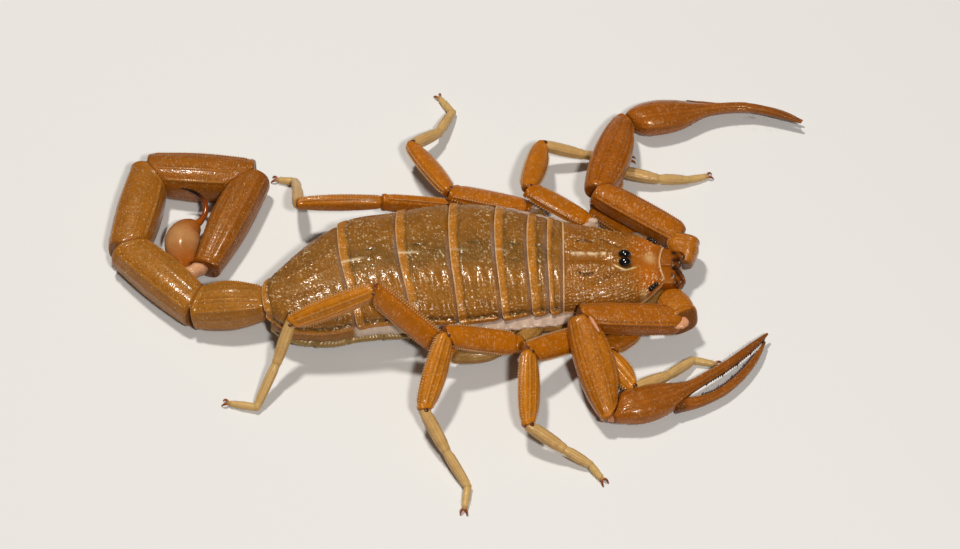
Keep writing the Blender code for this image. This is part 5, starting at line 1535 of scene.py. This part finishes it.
def dome(centre, size, lean, heading, rows, sides):
    """A closed half ellipsoid: its size along, across and up by sines of the rise, leaned and turned."""
    rise = np.linspace(-0.45, math.pi / 2, rows)[:-1][:, None]
    turn = (np.arange(sides) * 2 * math.pi / sides)[None]
    normal = unit(lean)
    forward = unit(heading - normal * np.dot(heading, normal))
    spread = np.cos(rise)
    local = np.stack((spread * np.cos(turn), spread * np.sin(turn), np.sin(rise) + 0 * turn), axis=2)
    return close_tube(centre + (local * size) @ np.array((forward, np.cross(normal, forward), normal)))


def jaw(side):
    """One jaw: a smooth swollen tube with two short hooked fingers that carry dark teeth."""
    sign = -1.0 if side == "right" else 1.0
    t, drop, scale = CHELICERA_PROFILE.T
    line = CHELICERA_LINE + sign * (CHELICERA_HALF_WIDTH * scale - 0.05)
    path = np.stack((CHELICERA_START + CHELICERA_LENGTH * t, line, CHELICERA_HEIGHT - drop), axis=1)

    def lumps(s, angle):
        """Uneven swellings toward the front."""
        waves = ripple(s[:, None] * 6.0, np.cos(angle) * 4.0, np.sin(angle) * 4.0, seed=31)
        return 0.07 * waves * ease(s, 0.8, 1.3)[:, None]

    body = curved(path, 60, CHELICERA_HALF_WIDTH * scale, CHELICERA_HALF_HEIGHT * scale, UP, 96, power=0.50,
                  grain=0.3, radius=0.22, blunt=(1.0, 0.72), dents=lumps)
    x, y, z = np.moveaxis(body.rings, 2, 0)
    patchy = ripple(x * 9, y * 8, z * 7, seed=12)
    glints = ripple(x * 15, y * 13, z * 11, seed=16)
    front = ease(x, 15.05, 15.45)
    inner = bell(y - CHELICERA_LINE + 0.15, 0.85)
    # The dark patches at the front are the jaws' own colour; the glint colour there is painted highlights.
    shells = [closed(body, dusk=np.clip(front * (0.30 + 0.7 * inner + 1.1 * patchy), 0, 1),
                     grain=0.6 * front * ease(glints, 0.45, 0.6), warm=0.35 * (1 - front))]
    outer = CHELICERA_LINE + sign * (CHELICERA_HALF_WIDTH + 0.03)
    for inward, lift, long in JAW_FINGERS:
        toward = sign * math.copysign(1.0, inward)
        base = np.array((CHELICERA_START + 1.32, outer - sign * inward, CHELICERA_HEIGHT + lift))
        tip = base + (long * 0.78, 0.10 * toward, -0.42)
        hook = (base, 0.5 * (base + tip) + (0.14, 0.0, 0.12), tip)
        finger = curved(hook, 24, JAW_FINGER_BREADTH, JAW_FINGER_THICKNESS, (0.0, 1.0, 0.0), 24, grain=0.0)
        shells.append(closed(finger, dusk=lambda s: 0.35 + 0.55 * ease(s, 0.10, 0.55)))
        roots = along(hook, 9)[3:8]
        lean = np.array((0.0, 0.13 * toward, -0.02))
        shells.append(spikes(roots + 0.6 * lean, roots + 1.5 * lean + (0.02, 0.0, -0.03), 0.05, dusk=1.0))
    source = np.random.default_rng(5)
    turn = source.uniform(-0.6, 1.2, JAW_HAIRS)
    roots = np.stack((15.5 + 0.4 * source.random(JAW_HAIRS), outer + 0.495 * sign * np.cos(turn),
                      CHELICERA_HEIGHT - 0.05 + 0.42 * np.sin(turn)), axis=1)
    shells.append(spikes(roots, roots + (0.26, 0.02 * sign, -0.03), HAIR_RADIUS, warm=1.0))
    return shells


# ------------------------------------------------------------------------------ tail


def build_tail_segment(index):
    """One keeled segment of the tail with the skin of the joint behind it."""
    joints = np.array(TAIL_JOINTS)
    start, end = joints[index:index + 2]
    last = index == len(TAIL_HALF_WIDTHS) - 1
    before = start - joints[index - 1] if index else None
    after = None if last else joints[index + 2] - end
    keels = {0: FIRST_TAIL_KEELS, len(TAIL_HALF_WIDTHS) - 1: LAST_TAIL_KEELS}.get(index, TAIL_KEELS)
    breadth = TAIL_HALF_WIDTHS[index]
    shells = segment(start, end, breadth, TAIL_FLATNESS * np.array(breadth), UP, before, after, keels=keels,
                     seed=TAIL_SEED + index, warm=TAIL_WARMTH[index], **TAIL_SEGMENT)
    if last:
        axes = (TAIL_END_HEADING, np.cross(UP, TAIL_END_HEADING), UP)
        # The glint colour on the end skin is a painted highlight.
        shells.append(knob(end + TAIL_END_SKIN, TAIL_END_SKIN_SIZE, axes, wrinkle=0.10, pale=0.6, grain=0.3))
    else:
        shells.append(joint_skin(start, end, end + after, UP, 1.1, 1.1, push=0.10, dusk=0.4))
    put_piece(f"tail_{index + 1}", shells, "tail", (f"tail_segment_{index + 1}",))


# ------------------------------------------------------------------------------ operators


class BuildHead(bpy.types.Operator):
    """Head shield with its eye hill, furrows and grained fields"""

    bl_idname = "scorpion.build_head"
    bl_label = "Head shield"

    def execute(self, context):
        put_piece("head_shield", [head_shield()], "head", ("carapace",))
        return {"FINISHED"}


class BuildEyes(bpy.types.Operator):
    """Two middle eyes and a row of three small side eyes at each front corner"""

    bl_idname = "scorpion.build_eyes"
    bl_label = "Eyes"

    def execute(self, context):
        for side, sign in (("right", -1.0), ("left", 1.0)):
            lean = (0.0, sign * 0.75, 0.8)
            centre = (EYE_X, EYE_LINES[side], EYE_Z) + EYE_SINK * unit(lean)
            size = (EYE_RADIUS * 1.40, EYE_RADIUS * 1.10, EYE_RADIUS)
            put_piece(f"middle_eye_{side}", [dome(centre, size, lean, (1.0, 0.0, 0.0), 30, 56)], "eye",
                      (f"eye_median_{side}",))
            turn = math.radians(SIDE_EYE_TURN if sign < 0 else 180.0 - SIDE_EYE_TURN)
            spot = arch(np.array((SIDE_EYE_X,)), np.array((turn,)))[0, 0]
            lean = (0.35, sign * 0.7, 0.8)
            row = unit((1.0, -sign * 0.75, 0.3))
            spot = spot + EYE_SINK * unit(lean)
            lenses = [dome(spot + step * row, (radius * 1.05, radius, radius), lean, row, 16, 28)
                      for step, radius in SIDE_EYES]
            put_piece(f"side_eyes_{side}", lenses, "eye", (f"eyes_lateral_{side}",))
        return {"FINISHED"}


class BuildJaws(bpy.types.Operator):
    """The two jaws with their dark fingers"""

    bl_idname = "scorpion.build_jaws"
    bl_label = "Jaws"

    def execute(self, context):
        for side in ("right", "left"):
            put_piece(f"jaw_{side}", jaw(side), "jaw", (f"chelicera_{side}",))
        return {"FINISHED"}


class BuildBack(bpy.types.Operator):
    """The seven back plates"""

    bl_idname = "scorpion.build_back"
    bl_label = "Back plates"

    def execute(self, context):
        for number in range(1, LAST_PLATE + 1):
            put_piece(f"back_plate_{number}", [back_plate(number)], "back",
                      (f"tergite_{number}",))
        return {"FINISHED"}


class BuildUnderside(bpy.types.Operator):
    """Soft sides, belly plates, breast with its coxae, and combs"""

    bl_idname = "scorpion.build_underside"
    bl_label = "Sides and underside"

    def execute(self, context):
        put_piece("soft_sides", [soft_sides()], "membrane", ("pleural_membrane",))
        put_piece("belly", [belly_plates()], "belly", ("sternites",))
        shells = [breastplate()]
        for number, (leg, (hip, knee, *_)) in enumerate(LEGS.items()):
            shells.append(coxa(coxa_root(leg), hip, np.subtract(knee, hip), COXA_BOWS.get(leg, COXA_BOW),
                               COXA_BREADTH, COXA_DEPTH, COXA_SEED + number))
        for side, (hip, shoulder, *_) in PALPS.items():
            shells.append(coxa(PALP_COXA_ROOTS[side], hip, np.subtract(shoulder, hip), 0.0, PALP_COXA_BREADTH,
                               PALP_COXA_DEPTH, PALP_COXA_SEED))
        put_piece("breast_and_coxae", shells, "belly", ("coxosternum",))
        for side in ("right", "left"):
            put_piece(f"comb_{side}", comb(side), "belly", (f"pecten_{side}",))
        return {"FINISHED"}


class BuildLegs(bpy.types.Operator):
    """The eight walking legs"""

    bl_idname = "scorpion.build_legs"
    bl_label = "Legs"

    def execute(self, context):
        for number, leg in enumerate(LEGS):
            build_leg(leg, number + 1)
        return {"FINISHED"}


class BuildPincers(bpy.types.Operator):
    """The two pincer arms"""

    bl_idname = "scorpion.build_pincers"
    bl_label = "Pincer arms"

    def execute(self, context):
        for side in PALPS:
            build_pincer(side)
        return {"FINISHED"}


class BuildTail(bpy.types.Operator):
    """Five keeled tail segments, the bulb and the sting"""

    bl_idname = "scorpion.build_tail"
    bl_label = "Tail and sting"

    def execute(self, context):
        for index in range(len(TAIL_HALF_WIDTHS)):
            build_tail_segment(index)
        bulb = curved(VESICLE_PATH, 96, VESICLE_HALF_WIDTHS, VESICLE_HALF_HEIGHTS, UP, 96, grain=0.12,
                      radius=0.25, blunt=(0.5, 0.5), seed=99)
        bulb = closed(bulb, dusk=lambda s: 0.8 * ease(s, 0.9, 0.4), pale=lambda s: 0.33 * bell(s - 3.0, 1.2),
                      warm=lambda s: 0.7 * ease(s, 4.6, 5.4))
        put_piece("sting_bulb", [bulb], "vesicle", ("telson_vesicle",))
        sting = curved(STING_PATH, 90, STING_RADII, STING_RADII, UP, 48, grain=0.0, blunt=(0.8, 0.2))
        sting = closed(sting, dusk=lambda s: ease(s / s[-1], 0.40, 0.72),
                       rim=lambda s: ease(s / s[-1], 0.22, 0.05))
        put_piece("sting", [sting], "sting", ("telson_aculeus",))
        return {"FINISHED"}


def aim_turn(aim):
    """Turns that point an object's -Z along a direction with its Y up: tilt from the vertical, heading."""
    x, y, z = unit(aim)
    return (math.acos(max(-1.0, min(1.0, -z))), 0.0, math.atan2(y, x) - math.pi / 2)


class BuildStage(bpy.types.Operator):
    """Floor, lights, even sky and camera"""

    bl_idname = "scorpion.build_stage"
    bl_label = "Stage"

    def execute(self, context):
        scene = context.scene
        stage = scene.scorpion_stage
        x, y = np.meshgrid(*[np.linspace(-1.0, 1.0, FLOOR_STEPS)] * 2)
        points = np.stack((x, y, np.zeros_like(x)), axis=2).reshape(-1, 3)
        faces = grid_quads(np.arange(x.size).reshape(x.shape))
        mesh = bpy.data.meshes.new("floor")
        mesh.from_pydata(points.tolist(), [], faces.tolist())
        paint = bpy.data.materials.new("floor")
        paint.use_nodes = True
        shader = paint.node_tree.nodes["Principled BSDF"]
        shader.inputs["Base Color"].default_value = (*stage.floor, 1.0)
        shader.inputs["Roughness"].default_value = FLOOR_ROUGHNESS
        shader.inputs["Specular IOR Level"].default_value = FLOOR_GLOSS
        mesh.materials.append(paint)
        floor = linked("floor", mesh)
        for name, (place, size, power, tint) in LIGHTS.items():
            lamp = bpy.data.lights.new(name, "AREA")
            lamp.size = size * MM
            lamp.energy = getattr(stage, power)
            lamp.color = tint
            light = linked(name, lamp)
            light.location = np.array(place) * MM
            light.rotation_euler = aim_turn(LOOK_AT - place)
        world = bpy.data.worlds.new("sky")
        world.use_nodes = True
        sky = world.node_tree.nodes["Background"]
        sky.inputs["Color"].default_value = (1.0, 1.0, 1.0, 1.0)
        sky.inputs["Strength"].default_value = stage.sky_strength
        scene.world = world
        lens = bpy.data.cameras.new("camera")
        lens.lens = stage.lens
        lens.sensor_width = SENSOR_WIDTH
        lens.clip_start, lens.clip_end = CAMERA_RANGE
        camera = linked("camera", lens)
        back = np.array((0.0, -math.cos(stage.elevation), math.sin(stage.elevation)))
        camera.location = LOOK_AT * MM + back * stage.distance
        camera.rotation_euler = aim_turn(-back)
        scene.camera = camera
        scene.view_settings.view_transform = "Standard"
        return {"FINISHED"}


PIECES = (BuildHead, BuildEyes, BuildJaws, BuildBack, BuildUnderside, BuildLegs, BuildPincers, BuildTail,
          BuildStage)


class ScorpionPanel(bpy.types.Panel):
    """Lists the settings and the pieces."""

    bl_idname = "VIEW3D_PT_scorpion"
    bl_label = "Scorpion"
    bl_space_type = "VIEW_3D"
    bl_region_type = "UI"
    bl_category = "Scorpion"

    def draw(self, context):
        for name, group in GROUPS.items():
            box = self.layout.box()
            for setting in group.__annotations__:
                box.prop(getattr(context.scene, name), setting)
        for piece in PIECES:
            self.layout.operator(piece.bl_idname)


GROUPS = {"scorpion_colours": ScorpionColours, "scorpion_relief": ScorpionRelief,
          "scorpion_stage": ScorpionStage}
CLASSES = (*GROUPS.values(), *PIECES, ScorpionPanel)


def register():
    """Registers the classes and hangs the settings on the scene."""
    for cls in CLASSES:
        bpy.utils.register_class(cls)
    for name, group in GROUPS.items():
        setattr(bpy.types.Scene, name, PointerProperty(type=group))


def unregister():
    """Takes the settings and the classes away again."""
    for name in GROUPS:
        delattr(bpy.types.Scene, name)
    for cls in reversed(CLASSES):
        bpy.utils.unregister_class(cls)


def main():
    register()
    for piece in PIECES:
        _, name = piece.bl_idname.split(".")
        getattr(bpy.ops.scorpion, name)()


if __name__ == "__main__":
    main()
